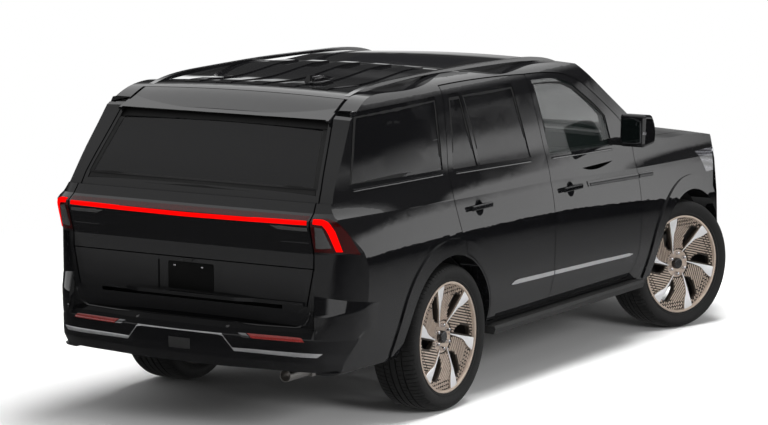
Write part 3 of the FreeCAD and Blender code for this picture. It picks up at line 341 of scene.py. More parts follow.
def only(piece):
    """Make a piece the only one that is selected, and the active one."""
    bpy.ops.object.select_all(action="DESELECT")
    piece.select_set(True)
    bpy.context.view_layer.objects.active = piece


def plate(name, outline, push, bevel=0.0, segments=2):
    """A flat outline of places in millimetres, pushed along a vector to a closed plate."""
    bpy.ops.object.select_all(action="DESELECT")
    bpy.ops.mesh.primitive_circle_add(vertices=len(outline), fill_type="NGON")
    piece = bpy.context.object
    piece.name = name
    for corner, place in zip(piece.data.vertices, outline):
        corner.co = Vector(place) * MM
    bpy.ops.object.mode_set(mode="EDIT")
    bpy.ops.mesh.select_all(action="SELECT")
    bpy.ops.mesh.extrude_region_move(TRANSFORM_OT_translate={"value": Vector(push) * MM})
    bpy.ops.mesh.select_all(action="SELECT")
    bpy.ops.mesh.normals_make_consistent(inside=False)
    bpy.ops.object.mode_set(mode="OBJECT")
    if bevel:
        soften(piece, bevel, segments)
    return piece


def soften(piece, width, segments=2, angle=30.0):
    """Round the sharp edges, as every cast, moulded or pressed edge is."""
    only(piece)
    edge = piece.modifiers.new("soft_edge", "BEVEL")
    edge.width = width * MM
    edge.segments = segments
    edge.limit_method = "ANGLE"
    edge.angle_limit = math.radians(angle)
    bpy.ops.object.modifier_apply(modifier=edge.name)
    bpy.ops.object.shade_smooth_by_angle(angle=SMOOTH_BELOW)


def lathe(name, profile, steps=96):
    """A closed profile of (y, radius) in millimetres, spun about the Y axis."""
    piece = plate(name, [(0, y, r) for y, r in profile], (0, 0, 0))
    bpy.ops.object.mode_set(mode="EDIT")
    bpy.ops.mesh.select_all(action="SELECT")
    bpy.ops.mesh.delete(type="ONLY_FACE")
    bpy.ops.mesh.select_all(action="SELECT")
    bpy.ops.mesh.remove_doubles(threshold=0.01 * MM)
    bpy.ops.mesh.select_all(action="SELECT")
    bpy.ops.mesh.spin(steps=steps, angle=math.tau, center=(0, 0, 0), axis=(0, 1, 0))
    bpy.ops.mesh.select_all(action="SELECT")
    bpy.ops.mesh.remove_doubles(threshold=0.02 * MM)
    bpy.ops.mesh.normals_make_consistent(inside=False)
    bpy.ops.object.mode_set(mode="OBJECT")
    bpy.ops.object.shade_smooth_by_angle(angle=SMOOTH_BELOW)
    return piece


def cut(piece, tool):
    """Take a tool's volume out of a piece, and drop the tool."""
    only(piece)
    hole = piece.modifiers.new("hole", "BOOLEAN")
    hole.operation = "DIFFERENCE"
    hole.object = tool
    bpy.ops.object.modifier_apply(modifier=hole.name)
    bpy.data.objects.remove(tool)


def joined(name, pieces):
    """Several pieces made one, which takes the first one's place."""
    bpy.ops.object.select_all(action="DESELECT")
    for piece in pieces:
        piece.select_set(True)
    bpy.context.view_layer.objects.active = pieces[0]
    bpy.ops.object.join()
    pieces[0].name = name
    pieces[0].data.name = name
    return pieces[0]


def copied(piece, name, matrix):
    """A copy with its own mesh, moved by changing the mesh and not the object."""
    twin = piece.copy()
    twin.data = piece.data.copy()
    twin.name = name
    bpy.context.collection.objects.link(twin)
    twin.data.transform(matrix)
    if matrix.determinant() < 0:
        twin.data.flip_normals()
    return twin


def sheet(name, rows, out, thick, offset=1.0):
    """A sheet through rows of places that faces along out, thick millimetres strong."""
    bpy.ops.object.select_all(action="DESELECT")
    bpy.ops.mesh.primitive_grid_add(x_subdivisions=len(rows[0]) - 1, y_subdivisions=len(rows) - 1)
    piece = bpy.context.object
    piece.name = name
    for corner, place in zip(piece.data.vertices, [p for row in rows for p in row]):
        corner.co = place
    piece.data.update()
    if sum(face.normal.dot(out) for face in piece.data.polygons) < 0:
        piece.data.flip_normals()
    only(piece)
    shell = piece.modifiers.new("shell", "SOLIDIFY")
    shell.thickness = thick * MM
    shell.offset = offset
    bpy.ops.object.modifier_apply(modifier=shell.name)
    return piece


def standing(place, normal):
    """Matrix that stands a turned piece on a face: its Y axis along the face's normal."""
    return Matrix.Translation(place) @ normal.to_track_quat("Y", "Z").to_matrix().to_4x4()


MIRROR = Matrix.Scale(-1.0, 4, (0, 1, 0))
UPRIGHT = Matrix.Rotation(math.radians(90), 4, "X")

# %% Finishes of the wheels
champagne = Finish("champagne_cast_alloy", (0.42, 0.34, 0.28), roughness=0.34, metallic=0.55)
champagne.tone(champagne.noise(30.0), (0.40, 0.325, 0.268), (0.54, 0.445, 0.372))
champagne.set("Roughness", champagne.noise(300.0) * 0.2 + 0.26)
champagne.bump(champagne.noise(1400.0, 1.0), distance=0.0001, strength=0.4)

# The face between the blades and ribs is the alloy darkened about tenfold: painted shade in the recesses and
# gaps between the ribs.
champagne_painted_shade = Finish("champagne_recess", (0.17, 0.135, 0.11), roughness=0.4, metallic=0.5)
champagne_painted_shade.tone(champagne_painted_shade.noise(30.0), (0.022, 0.017, 0.013), (0.045, 0.035, 0.028))
champagne_painted_shade.bump(champagne_painted_shade.noise(1400.0, 1.0), distance=0.0001, strength=0.4)

machined = Finish("machined_alloy", (0.66, 0.66, 0.67), roughness=0.28, metallic=0.45, Coat_Weight=0.4)
turning = machined.noise(40.0, 2.0, (9.0, 1.0, 9.0))
machined.tone(turning, (0.60, 0.60, 0.61), (0.66, 0.66, 0.67))
machined.set("Roughness", turning * 0.06 + 0.26)

# The barrel is the alloy darkened to near black: painted shade inside the rim, seen through the windows.
barrel_painted_shade = Finish("dark_barrel", (0.035, 0.03, 0.027), roughness=0.45, metallic=0.4)
barrel_painted_shade.tone(barrel_painted_shade.noise(25.0), (0.02, 0.018, 0.016), (0.06, 0.05, 0.045))

chrome = Finish("polished_chrome", (0.75, 0.75, 0.77), roughness=0.08, metallic=1.0)
chrome.set("Roughness", chrome.noise(80.0) * 0.08 + 0.05)

brake_iron = Finish("brake_iron", (0.16, 0.155, 0.15), roughness=0.35, metallic=0.8)
scored = brake_iron.noise(20.0, 3.0, (14.0, 1.0, 14.0))
brake_iron.tone(scored, (0.10, 0.09, 0.085), (0.24, 0.235, 0.23))
brake_iron.set("Roughness", scored * 0.25 + 0.25)
print("wheel finishes made, in all", len(bpy.data.materials))

# %% Lay out the wheel's face
# Levels are (radius, height along the axle), blades and windows are (along, across) from the
# foot of a blade's leading edge, all in millimetres.
BLADES = 6
SECTOR = 360.0 / BLADES
FACE_LEVEL = [(88.0, 84.0), (180.0, 99.0), (307.0, 107.0)]
BLADE_LEVEL = [(78.0, 90.0), (90.0, 92.0), (180.0, 109.0), (306.0, 120.0)]
ROOT = Vector((-49.0, 75.5))
ALONG = Vector((-0.275, 0.961))
ACROSS = Vector((-0.961, -0.275))
LEADING_EDGE = [(-12, 0), (60, 0), (120, 0), (180, 0), (226, 0)]
BLADE_WIDTHS = [(222.0, 76.0), (196.0, 67.0), (172.0, 57.0), (150.0, 46.0), (132.0, 33.0), (112.0, 22.0),
                (80.0, 15.0), (40.0, 9.0), (0.0, 6.0), (-12.0, 6.0)]
BLADE_ROOM = 3
WINDOW = [(24, 9), (180, 9), (175, 34), (160, 58), (110, 62), (62, 56), (34, 34)]
WINDOW_LAND = [(20, 5), (186, 5), (181, 38), (164, 63), (108, 67), (56, 61), (28, 37)]
SECTOR_LAND = [(400, 4), (400, 400), (-300, 400)]


def level(table, radius):
    """Height of the face or of the blades at a radius, straight between the table's rows."""
    for (r0, w0), (r1, w1) in zip(table, table[1:]):
        if radius <= r1:
            break
    return w0 + (w1 - w0) * (radius - r0) / (r1 - r0)


def on_face(t, d, turn=0.0):
    """Place t along and d across a blade's leading edge, as (x, z), turned about the wheel."""
    flat = ROOT + ALONG * t + ACROSS * d
    angle = math.radians(turn)
    return Vector((flat.x * math.cos(angle) + flat.y * math.sin(angle),
                   flat.y * math.cos(angle) - flat.x * math.sin(angle)))


def off_blade(place, turn):
    """How far across a place lies from the leading edge of the blade at a turn."""
    angle = math.radians(turn)
    flat = Vector((place.x * math.cos(angle) - place.y * math.sin(angle),
                   place.x * math.sin(angle) + place.y * math.cos(angle)))
    return (flat - ROOT).dot(ACROSS)


def inside(place, outline):
    """Whether a flat place lies inside an outline of flat places."""
    count = 0
    for p, q in zip(outline, outline[1:] + outline[:1]):
        if (p.y > place.y) != (q.y > place.y):
            count += place.x < p.x + (q.x - p.x) * (place.y - p.y) / (q.y - p.y)
    return count % 2 == 1


def around(piece, name):
    """Copies of a piece in the wheel's other sectors."""
    return [copied(piece, name, Matrix.Rotation(math.radians(SECTOR * n), 4, "Y")) for n in range(1, BLADES)]


blade_edge = [on_face(t, d) for t, d in LEADING_EDGE]
blade_edge += [on_face(t, -width) for t, width in BLADE_WIDTHS]
beside_blade = [(0, BLADE_ROOM), (226, BLADE_ROOM)] + [(t, -w - BLADE_ROOM) for t, w in BLADE_WIDTHS]
near_blade = [on_face(t, d, -SECTOR) for t, d in beside_blade]
print("blade corners", len(blade_edge), "window corners", len(WINDOW))

# %% Cast the face, cut its windows and stand the blades on it
FACE_PROFILE = [(60, 96), (84, 295), (102, 309), (107, 307), (104, 250), (99, 180), (90, 120), (84, 90),
                (72, 70), (70, 36), (40, 36), (40, 90)]
BLADE_FLOOR, BLADE_ROOF = 66, 76
BLADE_SUNK = 6
face = lathe("wheel_face", FACE_PROFILE, steps=120)
for number in range(BLADES):
    opening = [on_face(t, d, number * SECTOR) for t, d in WINDOW]
    cut(face, plate("window_tool", [(p.x, 40, p.y) for p in opening], (0, 90, 0)))
soften(face, width=2.5, segments=2, angle=40.0)
blade = plate("wheel_blade", [(p.x, BLADE_FLOOR, p.y) for p in blade_edge], (0, BLADE_ROOF - BLADE_FLOOR, 0))
for corner in blade.data.vertices:
    radius = math.hypot(corner.co.x, corner.co.z) / MM
    if corner.co.y > (BLADE_FLOOR + BLADE_ROOF) / 2 * MM:
        corner.co.y = level(BLADE_LEVEL, radius) * MM
    else:
        corner.co.y = (level(FACE_LEVEL, max(radius, FACE_LEVEL[0][0])) - BLADE_SUNK) * MM
soften(blade, width=1.2, segments=2)
dress(blade, champagne, machined)
for side in blade.data.polygons:
    side.material_index = 1 if side.normal.y > 0.9 else 0
blades = around(blade, "blade")
print("face", len(face.data.polygons), "faces, blades", 1 + len(blades))

# %% Cast the ribs of one sector and copy them round
RIB_PITCH = 15.5
RIB_STEP = 3.0
RIB_ROWS = 13
RIB_WIDE, RIB_HIGH, RIB_PROUD = 8.0, 7.0, 1.5
RIB_SHORTEST = 7
RIB_SPAN = (-40.0, 330.0)
RIB_RING = (98, 303)
DASH_FROM, DASH_PITCH, DASH_LENGTH = 240, 32, 23
bpy.ops.object.select_all(action="DESELECT")
bpy.ops.mesh.primitive_cube_add(size=0.001, location=(0, 0, 0))
ribs = bpy.context.object
ribs.name = "wheel_ribs"
rib_mesh = bmesh.new()


def add_rib(start, end):
    """One raised rib between two flat places, following the dish of the face."""
    low = Vector((start.x, level(FACE_LEVEL, start.length) + RIB_PROUD, start.y))
    high = Vector((end.x, level(FACE_LEVEL, end.length) + RIB_PROUD, end.y))
    run = high - low
    size = Matrix.Diagonal((RIB_WIDE * MM, RIB_HIGH * MM, run.length * MM, 1.0))
    turn = run.to_track_quat("Z", "Y").to_matrix().to_4x4()
    middle = Matrix.Translation((low + high) / 2 * MM)
    bmesh.ops.create_cube(rib_mesh, size=1.0, matrix=middle @ turn @ size)


window_land = [on_face(t, d) for t, d in WINDOW_LAND]
sector_land = [Vector((0, 0))] + [on_face(t, d) for t, d in SECTOR_LAND]


def carries_rib(place, along, row):
    """Whether a rib stands at a place: off the blades and windows, and broken near the rim."""
    if not RIB_RING[0] < place.length < RIB_RING[1] or not inside(place, sector_land):
        return False
    if inside(place, near_blade) or off_blade(place, -SECTOR) >= 0 or inside(place, window_land):
        return False
    shifted = along + (row % 2) * DASH_PITCH / 2
    return place.length <= DASH_FROM or shifted % DASH_PITCH <= DASH_LENGTH


count = 0
for row in range(1, RIB_ROWS + 1):
    d = row * RIB_PITCH
    begun = None
    t = RIB_SPAN[0]
    while t < RIB_SPAN[1]:
        solid = carries_rib(on_face(t, d), t, row)
        if solid and begun is None:
            begun = t
        if not solid and begun is not None:
            if t - begun > RIB_SHORTEST:
                add_rib(on_face(begun, d), on_face(t - RIB_STEP, d))
                count += 1
            begun = None
        t += RIB_STEP
rib_mesh.to_mesh(ribs.data)
rib_mesh.free()
print("ribs in one sector", count)
dress(ribs, champagne)
rib_rings = around(ribs, "ribs")

# %% Add the barrel, lip, cap, nuts, disc and hub
HUB_RADIUS = 98
NUT_CIRCLE = 67.5
# The face away from the hub takes the painted shade, and the hub keeps the plain alloy.
dress(face, champagne_painted_shade, champagne)
for side in face.data.polygons:
    side.material_index = 1 if math.hypot(side.center.x, side.center.z) < HUB_RADIUS * MM else 0
barrel = lathe("wheel_barrel", [(-127, 319), (-127, 298), (-122, 296), (-60, 290), (60, 290), (100, 300),
                                (110, 304), (112, 307.5), (-112, 307.5), (-119, 319)], steps=96)
dress(barrel, barrel_painted_shade)
lip = lathe("wheel_lip", [(100, 301), (119, 303), (125, 306), (127, 311), (126, 317), (122, 319),
                          (118, 316), (112, 308), (100, 308)], steps=120)
dress(lip, champagne)
cap = lathe("wheel_cap", [(60, 0), (60, 36), (92, 36), (97, 34.5), (99, 31), (99.5, 24), (98, 22),
                          (98.6, 0)], steps=48)
soften(cap, width=0.4, segments=1)
dress(cap, trim_black)
nut = lathe("wheel_nut", [(70, 0), (70, 13), (84, 13), (85, 10.8), (99, 10.2), (101.5, 8), (102.5, 4),
                          (102.5, 0)], steps=6)
nut.data.transform(Matrix.Translation((0, 0, NUT_CIRCLE * MM)))
dress(nut, chrome)
nuts = around(nut, "nut")
disc = lathe("brake_disc", [(-54, 60), (-54, 178), (-42, 178), (-42, 120), (-34, 120), (-34, 178), (-22, 178),
                            (-22, 100), (20, 92), (44, 88), (44, 30), (-44, 30), (-44, 60)], steps=72)
soften(disc, width=1.0, segments=1)
dress(disc, brake_iron)
wheel = joined("wheel_rim", [face, blade, ribs, barrel, lip, cap, nut, disc, *blades, *rib_rings, *nuts])
print("rim", len(wheel.data.polygons), "faces")

# %% [markdown]
# ## Tyres
# A low road tyre: a ribbed sidewall, four grooves round the tread and cross grooves that split
# it into blocks. The section is spun round, then narrow slices of it are pushed in.

# %% Spin and groove the tyre
TREAD_BLOCKS = 92
GROOVE_PART = 0.13
GROOVE_DEPTH = 5
GROOVE_SLANT = 0.30
HALF_SECTION = [(112, 309.5), (119, 311), (124, 318), (128, 328), (131.5, 331), (130.5, 336), (136, 346),
                (140.5, 360), (142.3, 374), (141, 387), (137, 397), (130, 405), (118, 411), (100, 414.5),
                (66, 417), (64.5, 409), (58.5, 409), (57, 417.4), (24, 418.6), (22.5, 410), (16.5, 410),
                (15, 418.9)]
section = HALF_SECTION + [(-w, r) for w, r in HALF_SECTION[::-1]]
tyre = lathe("tyre", section, TREAD_BLOCKS * 2)
step = math.tau / TREAD_BLOCKS
for corner in tyre.data.vertices:
    x, y, z = corner.co
    radius = math.hypot(x, z)
    angle = math.atan2(x, z)
    pair = math.floor(angle / step + 0.25)
    part = angle / step - pair
    angle = step * (pair + (GROOVE_PART if part > 0.25 else 0.0)) + GROOVE_SLANT * abs(y)
    corner.co = (radius * math.sin(angle), y, radius * math.cos(angle))
only(tyre)
bpy.ops.object.mode_set(mode="EDIT")
bpy.ops.mesh.select_all(action="DESELECT")
bpy.ops.mesh.select_mode(type="FACE")
tread = bmesh.from_edit_mesh(tyre.data)


def is_groove(patch):
    """Whether a face is one of the narrow slices between two blocks of the tread's shoulder."""
    middle = patch.calc_center_median()
    pairs = [(a.co, b.co) for a in patch.verts for b in patch.verts if a is not b]
    width = max((a - b).length for a, b in pairs if abs(a.y - b.y) < 0.01 * MM)
    on_tread = math.hypot(middle.x, middle.z) > 396 * MM and abs(middle.y) > 26 * MM
    return on_tread and width < 9 * MM and abs(patch.normal.y) < 0.9


grooves = 0
for patch in tread.faces:
    if is_groove(patch):
        patch.select = True
        grooves += 1
bmesh.update_edit_mesh(tyre.data)
bpy.ops.mesh.extrude_region_shrink_fatten(TRANSFORM_OT_shrink_fatten={"value": -GROOVE_DEPTH * MM})
bpy.ops.object.mode_set(mode="OBJECT")
bpy.ops.object.shade_smooth_by_angle(angle=math.radians(25))
dress(tyre, rubber)
print("groove faces", grooves, "tyre faces", len(tyre.data.polygons))

# %% [markdown]
# ## The four wheels
# The same wheel stands at all four corners. A left one is the mirror image of a right one, so
# that its blades sweep the same way when the car rolls, and the front ones are turned with the
# steering. Each copy has its own mesh, so that it can ride on its own wheel body.

# %% Copy the wheels to the four corners
STEERED = math.radians(-19.0)
KINGPIN = 0.770
WHEEL_PLANE = 0.8575
AXLE_HEIGHT = 0.419
for end, axle in (("front", FRONT_AXLE), ("rear", REAR_AXLE)):
    for side, sign in (("left", 1), ("right", -1)):
        move = Matrix.Translation((0, WHEEL_PLANE - KINGPIN, 0))
        if sign < 0:
            move = MIRROR @ move
        if end == "front":
            move = Matrix.Rotation(STEERED, 4, "Z") @ move
        move = Matrix.Translation((axle, sign * KINGPIN, AXLE_HEIGHT)) @ move
        body = f"{end}_{side}_wheel"
        for source, word, slot in ((wheel, "rim", "rim_alloy"), (tyre, "tyre", "tyre_rubber")):
            piece = copied(source, f"{end}_{side}_{word}_detail", move)
            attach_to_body(piece, body)
            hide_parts(f"{end}_{word}_{side}")
for source in (wheel, tyre):
    bpy.data.objects.remove(source)
print("four wheels placed")

# %% [markdown]
# ## Trim that follows the panels
# Lamps, bright strips and reflectors are moulded to the panel that carries them. Each one here is
# a grid laid between two edges, dropped onto its panel, given a thickness, and softly rounded.


# %% Tool for fitted trim
def between(first, second, hosts, lift, step):
    """Rows of places between two edges of as many corners, dropped on the nearest host."""
    rows = []
    for (a0, b0), (a1, b1) in zip(zip(first, second), zip(first[1:], second[1:])):
        a0, a1, b0, b1 = Vector(a0), Vector(a1), Vector(b0), Vector(b1)
        parts = max(1, math.ceil((a1 - a0).length / (step * MM)))
        for k in range(parts + (b1 == Vector(second[-1]))):
            rows.append((a0.lerp(a1, k / parts), b0.lerp(b1, k / parts)))
    wide = max((a - b).length for a, b in rows)
    lanes = max(2, math.ceil(wide / (step * MM)))
    result = []
    for a, b in rows:
        row = []
        for lane in range(lanes + 1):
            place = a.lerp(b, lane / lanes)
            best = None
            for host in hosts:
                found, spot, normal, _ = host.closest_point_on_mesh(place)
                if found and (best is None or (spot - place).length < best[0]):
                    best = ((spot - place).length, spot + normal * (lift * MM))
            row.append(best[1] if hosts else place)
        result.append(row)
    return result


def fitted(name, first, second, hosts, lift=0.3, thick=2.0, step=14.0, edge=0.5):
    """Trim between two edges, on its host panels, thick millimetres proud of lift."""
    rows = between(first, second, [NODES[h] for h in hosts], lift, step)
    middle = rows[len(rows) // 2][len(rows[0]) // 2]
    out = Vector((0, 0, 0))
    for h in hosts:
        _, spot, normal, _ = NODES[h].closest_point_on_mesh(middle)
        out += normal / ((spot - middle).length + 0.001)
    piece = sheet(name, rows, out, thick)
    if edge:
        soften(piece, edge, segments=2, angle=50.0)
    else:
        bpy.ops.object.shade_smooth_by_angle(angle=SMOOTH_BELOW)
    return piece


# Ways in which trim lies on its panel: how far off it, how thick and how finely laid, in mm.
LAMP_COVER = {"lift": 0.3, "thick": 2.0, "step": 12.0}
DOOR_STRIP = {"lift": 0.4, "thick": 3.0, "step": 20.0, "edge": 1.0}
NAME_STRIP = {"lift": 0.3, "thick": 2.5, "step": 20.0, "edge": 1.0}
WINDOW_SEAL = {"lift": 0.2, "thick": 2.0, "step": 26.0, "edge": 0.0}
RUBBER_LIP = {"lift": 0.0, "thick": 3.0, "step": 20.0, "edge": 0.6}


def attach(piece, body, finish, both_sides=False, other_body=None):
    """Give a new piece its finish and its body, and its mirror image if asked."""
    dress(piece, finish)
    pieces = [piece]
    if both_sides:
        pieces.append(copied(piece, piece.name + "_left", MIRROR))
        piece.name += "_right"
    for item, carrier in zip(pieces, (body, other_body or body)):
        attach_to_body(item, carrier)
    return pieces


# %% Finishes of the lamps and trim
glow = Finish("lit_red_strip", (0.20, 0.001, 0.001), roughness=0.3, Specular_IOR_Level=0.0)
glow.set("Emission Color", glow.blend(glow.noise(70.0, 1.0), (1.0, 0.0, 0.0), (1.0, 0.003, 0.002)))
glow.set("Emission Strength", 1.0)

smoke_red = Finish("smoked_red_lens", (0.05, 0.002, 0.002),
                   roughness=0.1, Specular_IOR_Level=0.2, Coat_Weight=0.2)
hatch = smoke_red.bands("Z", 90.0)
smoke_red.tone(hatch, (0.003, 0.001, 0.001), (0.045, 0.001, 0.001))

reflector_red = Finish("reflector_red", (0.22, 0.01, 0.008), roughness=0.25, Coat_Weight=0.6)
prisms = reflector_red.cells(230.0)
reflector_red.tone(prisms, (0.10, 0.004, 0.003), (0.30, 0.018, 0.014))

smoke_clear = Finish("smoked_clear_lens", (0.07, 0.07, 0.07),
                     roughness=0.1, Specular_IOR_Level=0.2, Coat_Weight=0.3)
fluting = smoke_clear.bands("Y", 60.0)
smoke_clear.tone(fluting, (0.02, 0.02, 0.02), (0.07, 0.07, 0.07))

dark_chrome = Finish("dark_chrome", (0.20, 0.20, 0.205), roughness=0.22, metallic=1.0)
dark_chrome.set("Roughness", dark_chrome.noise(60.0) * 0.12 + 0.16)

strip_metal = Finish("bright_strip", (0.50, 0.50, 0.51), roughness=0.3, metallic=0.75)
strip_metal.tone(strip_metal.noise(18.0), (0.44, 0.44, 0.45), (0.56, 0.56, 0.57))

mirror_face = Finish("mirror_silver", (0.30, 0.31, 0.32), roughness=0.03, metallic=1.0)
mirror_face.set("Roughness", mirror_face.noise(12.0) * 0.02 + 0.02)

bar_lens = Finish("light_bar_lens", (0.02, 0.002, 0.002),
                  roughness=0.12, Specular_IOR_Level=0.2, Coat_Weight=0.2)
lit_part = (bar_lens.axis(2) > 1.205) * bar_lens.bands("Z", 110.0)
bar_lens.tone(lit_part, (0.003, 0.002, 0.002), (0.045, 0.001, 0.001))
dress(NODES["light_bar"], bar_lens)
dress(NODES["tail_lamps"], smoke_red)
print("lamp finishes made, in all", len(bpy.data.materials))

# %% [markdown]
# ## Lamps of the tail
# A lit red line runs across the liftgate and turns down at both corners, where it lies in the
# lamps of the body. On the real car it is a light guide behind a smoked lens, so it is a thin
# strip of its own on the dark lens. The corner's two edges are given as places on the lamp.

# %% Fit the tail's light bar and lamps
BAR_HEIGHT = 0.0235
BAR_TOP = [(-2.588, 0.783, 1.2165), (-2.598, 0.4, 1.2105), (-2.601, 0.0, 1.2075), (-2.598, -0.4, 1.2105),
           (-2.588, -0.783, 1.2165)]
bar_low = [(x, y, z - BAR_HEIGHT) for x, y, z in BAR_TOP]
bar = fitted("light_bar_glow", BAR_TOP, bar_low, ["light_bar"], lift=0.4, thick=2.5, step=12.0)
attach(bar, "liftgate_body", glow)

reverse = fitted("reverse_lamp", [(-2.596, -0.552, 1.1785), (-2.586, -0.783, 1.1800)],
                 [(-2.590, -0.600, 1.1590), (-2.580, -0.783, 1.1595)], ["liftgate"], **LAMP_COVER)
attach(reverse, "liftgate_body", smoke_clear, True)
thin_bar = fitted("thin_bar", [(-2.568, -0.606, 1.0945), (-2.563, -0.778, 1.0955)],
                  [(-2.568, -0.602, 1.0885), (-2.563, -0.778, 1.0895)], ["liftgate"],
                  lift=0.2, thick=1.5, step=12.0)
attach(thin_bar, "liftgate_body", dark_chrome, True)

LAMP_OUTER = [(-2.5714, -0.8150, 1.2235), (-2.5570, -0.8660, 1.2220), (-2.5480, -0.9010, 1.2065),
              (-2.5227, -0.9207, 1.1606), (-2.4690, -0.9352, 1.0450)]
LAMP_INNER = [(-2.5850, -0.8200, 1.2000), (-2.5670, -0.8660, 1.1960), (-2.5600, -0.8830, 1.1760),
              (-2.5462, -0.8927, 1.1470), (-2.4983, -0.9112, 1.0470)]
corner = fitted("corner_glow", LAMP_OUTER, LAMP_INNER, ["tail_lamps"], lift=0.4, thick=3.0, step=10.0)
attach(corner, "chassis", glow, True)
clear_part = fitted("corner_clear", [(-2.5831, -0.8290, 1.1865), (-2.5496, -0.8160, 1.0634)],
                    [(-2.5700, -0.8690, 1.1790), (-2.5200, -0.8960, 1.0689)], ["tail_lamps"], **LAMP_COVER)
attach(clear_part, "chassis", smoke_clear, True)
print("tail lamps fitted")

# %% [markdown]
# ## Plate and bumper trim
# The number plate is a pressed sheet on two screws under a small lamp, and stays blank. The
# bumper carries a bright line that bends round the hitch cover, two reflectors and four parking
# sensors, so these are fitted onto its surface as thin pieces of their own.

# %% Number plate, left blank
PLATE_X = -2546.0
PLATE_THICK = 2.5
PLATE_CORNERS = [(150, 776), (144, 770), (-144, 770), (-150, 776), (-150, 915), (-144, 921), (144, 921),
                 (150, 915)]
PLATE_BOLTS = [(105, 898.5), (-78, 898.5)]
number_plate = plate("blank_plate", [(PLATE_X, y, z) for y, z in PLATE_CORNERS], (-PLATE_THICK, 0, 0),
                     bevel=0.6)
plate_black = Finish("plate_black", (0.003, 0.003, 0.003), roughness=0.6, Specular_IOR_Level=0.1)
plate_black.bump(plate_black.noise(40.0), distance=0.0004, strength=0.3)
attach(number_plate, "tailgate_body", plate_black)
bolt = lathe("plate_bolt", [(0, 0), (0, 6.5), (2, 6.5), (4, 5.0), (5, 2.5), (5, 0)], steps=24)
turn_back = Matrix.Rotation(math.radians(90), 4, "Z")
for number, (y, z) in enumerate(PLATE_BOLTS):
    home = Matrix.Translation(Vector((PLATE_X - PLATE_THICK, y, z)) * MM) @ turn_back
    screw = copied(bolt, f"plate_bolt_{number}", home)
    attach(screw, "tailgate_body", chrome)
bpy.data.objects.remove(bolt)
lamp_hood = plate("plate_lamp", [(-2554, 62, 946), (-2554, 40, 928), (-2554, -10, 928), (-2554, -32, 946)],
                  (-6.0, 0, 0), bevel=2.0)
attach(lamp_hood, "tailgate_body", plastic)

# %% Trim of the rear bumper
reflector = fitted("reflector", [(-2.6313, -0.424, 0.5800), (-2.5865, -0.7437, 0.5770)],
                   [(-2.6367, -0.458, 0.5575), (-2.5888, -0.7656, 0.5560)], ["rear_bumper"], **LAMP_COVER)
attach(reflector, "chassis", reflector_red, True)
tip = fitted("reflector_tip", [(-2.6400, -0.372, 0.5800), (-2.6330, -0.418, 0.5800)],
             [(-2.6451, -0.404, 0.5570), (-2.6370, -0.451, 0.5570)], ["rear_bumper"],
             lift=0.3, thick=3.0, step=12.0)
attach(tip, "chassis", dark_chrome, True)
CHROME_TOP = [(-2.5524, -0.8600, 0.4960), (-2.6027, -0.6967, 0.4975), (-2.6332, -0.4869, 0.4985),
              (-2.6555, -0.3430, 0.4985), (-2.6600, -0.2780, 0.5720), (-2.6628, -0.2514, 0.5715),
              (-2.664, 0.0, 0.5690)]
CHROME_LOW = [(-2.5655, -0.8321, 0.4735), (-2.6027, -0.6967, 0.4745), (-2.6332, -0.4869, 0.4780),
              (-2.6526, -0.3547, 0.4800), (-2.6640, -0.2860, 0.5580), (-2.6640, -0.2514, 0.5640),
              (-2.664, 0.0, 0.5630)]
chrome_line = fitted("bumper_strip", CHROME_TOP, CHROME_LOW, ["rear_bumper"],
                     lift=-1.2, thick=2.0, step=16.0, edge=0.3)
attach(chrome_line, "chassis", strip_metal, True)
hitch = fitted("hitch_cover", [(-2.666, 0.069, 0.524), (-2.666, -0.073, 0.524)],
               [(-2.663, 0.069, 0.464), (-2.663, -0.073, 0.464)], ["rear_bumper"],
               lift=0.3, thick=2.5, step=14.0, edge=1.0)
attach(hitch, "chassis", plastic)
print("plate and bumper trim fitted")

# %% Parking sensors: two on the bumper's middle, two on its shoulders
SENSOR_MIDDLE = Vector((-2.6310, 0.300, 0.6080))
SENSOR_OUTER = Vector((-2.5690, 0.825, 0.6120))
SENSOR_PROUD = 0.3
sensor = lathe("sensor", [(0, 0), (0, 11), (1.2, 11), (1.6, 9.5), (0.8, 8.5), (1.4, 7), (1.6, 0)], steps=32)
seats = []
for side in (1, -1):
    _, spot, normal, _ = NODES["rear_bumper"].closest_point_on_mesh(SENSOR_MIDDLE * Vector((1, side, 1)))
    seats.append((spot, normal))
for side in (1, -1):
    seats.append((SENSOR_OUTER * Vector((1, side, 1)), Vector((-0.94, side * 0.34, 0.0))))
for number, (spot, normal) in enumerate(seats):
    eye = copied(sensor, f"sensor_{number}", standing(spot + normal * (SENSOR_PROUD * MM), normal))
    attach(eye, "chassis", trim_black)
bpy.data.objects.remove(sensor)
print("sensors", len(seats))

# %% [markdown]
# ## Strips along the side
# A bright strip covers the lower edge of both doors, and a grey strip near the belt, left blank,
# crosses from the front door to the fender. On the real car they are pressed metal clipped to the
# panels and cut at each seam, so each panel has its own length, which rides with it.


# %% Strips on the doors, the blank name strip and the marker at the front corner
def on_side(points, y=-1.02):
    """Places on the right side from (millimetres ahead of the rear axle, height)."""
    return [(REAR_AXLE + x * MM, y, z * MM) for x, z in points]


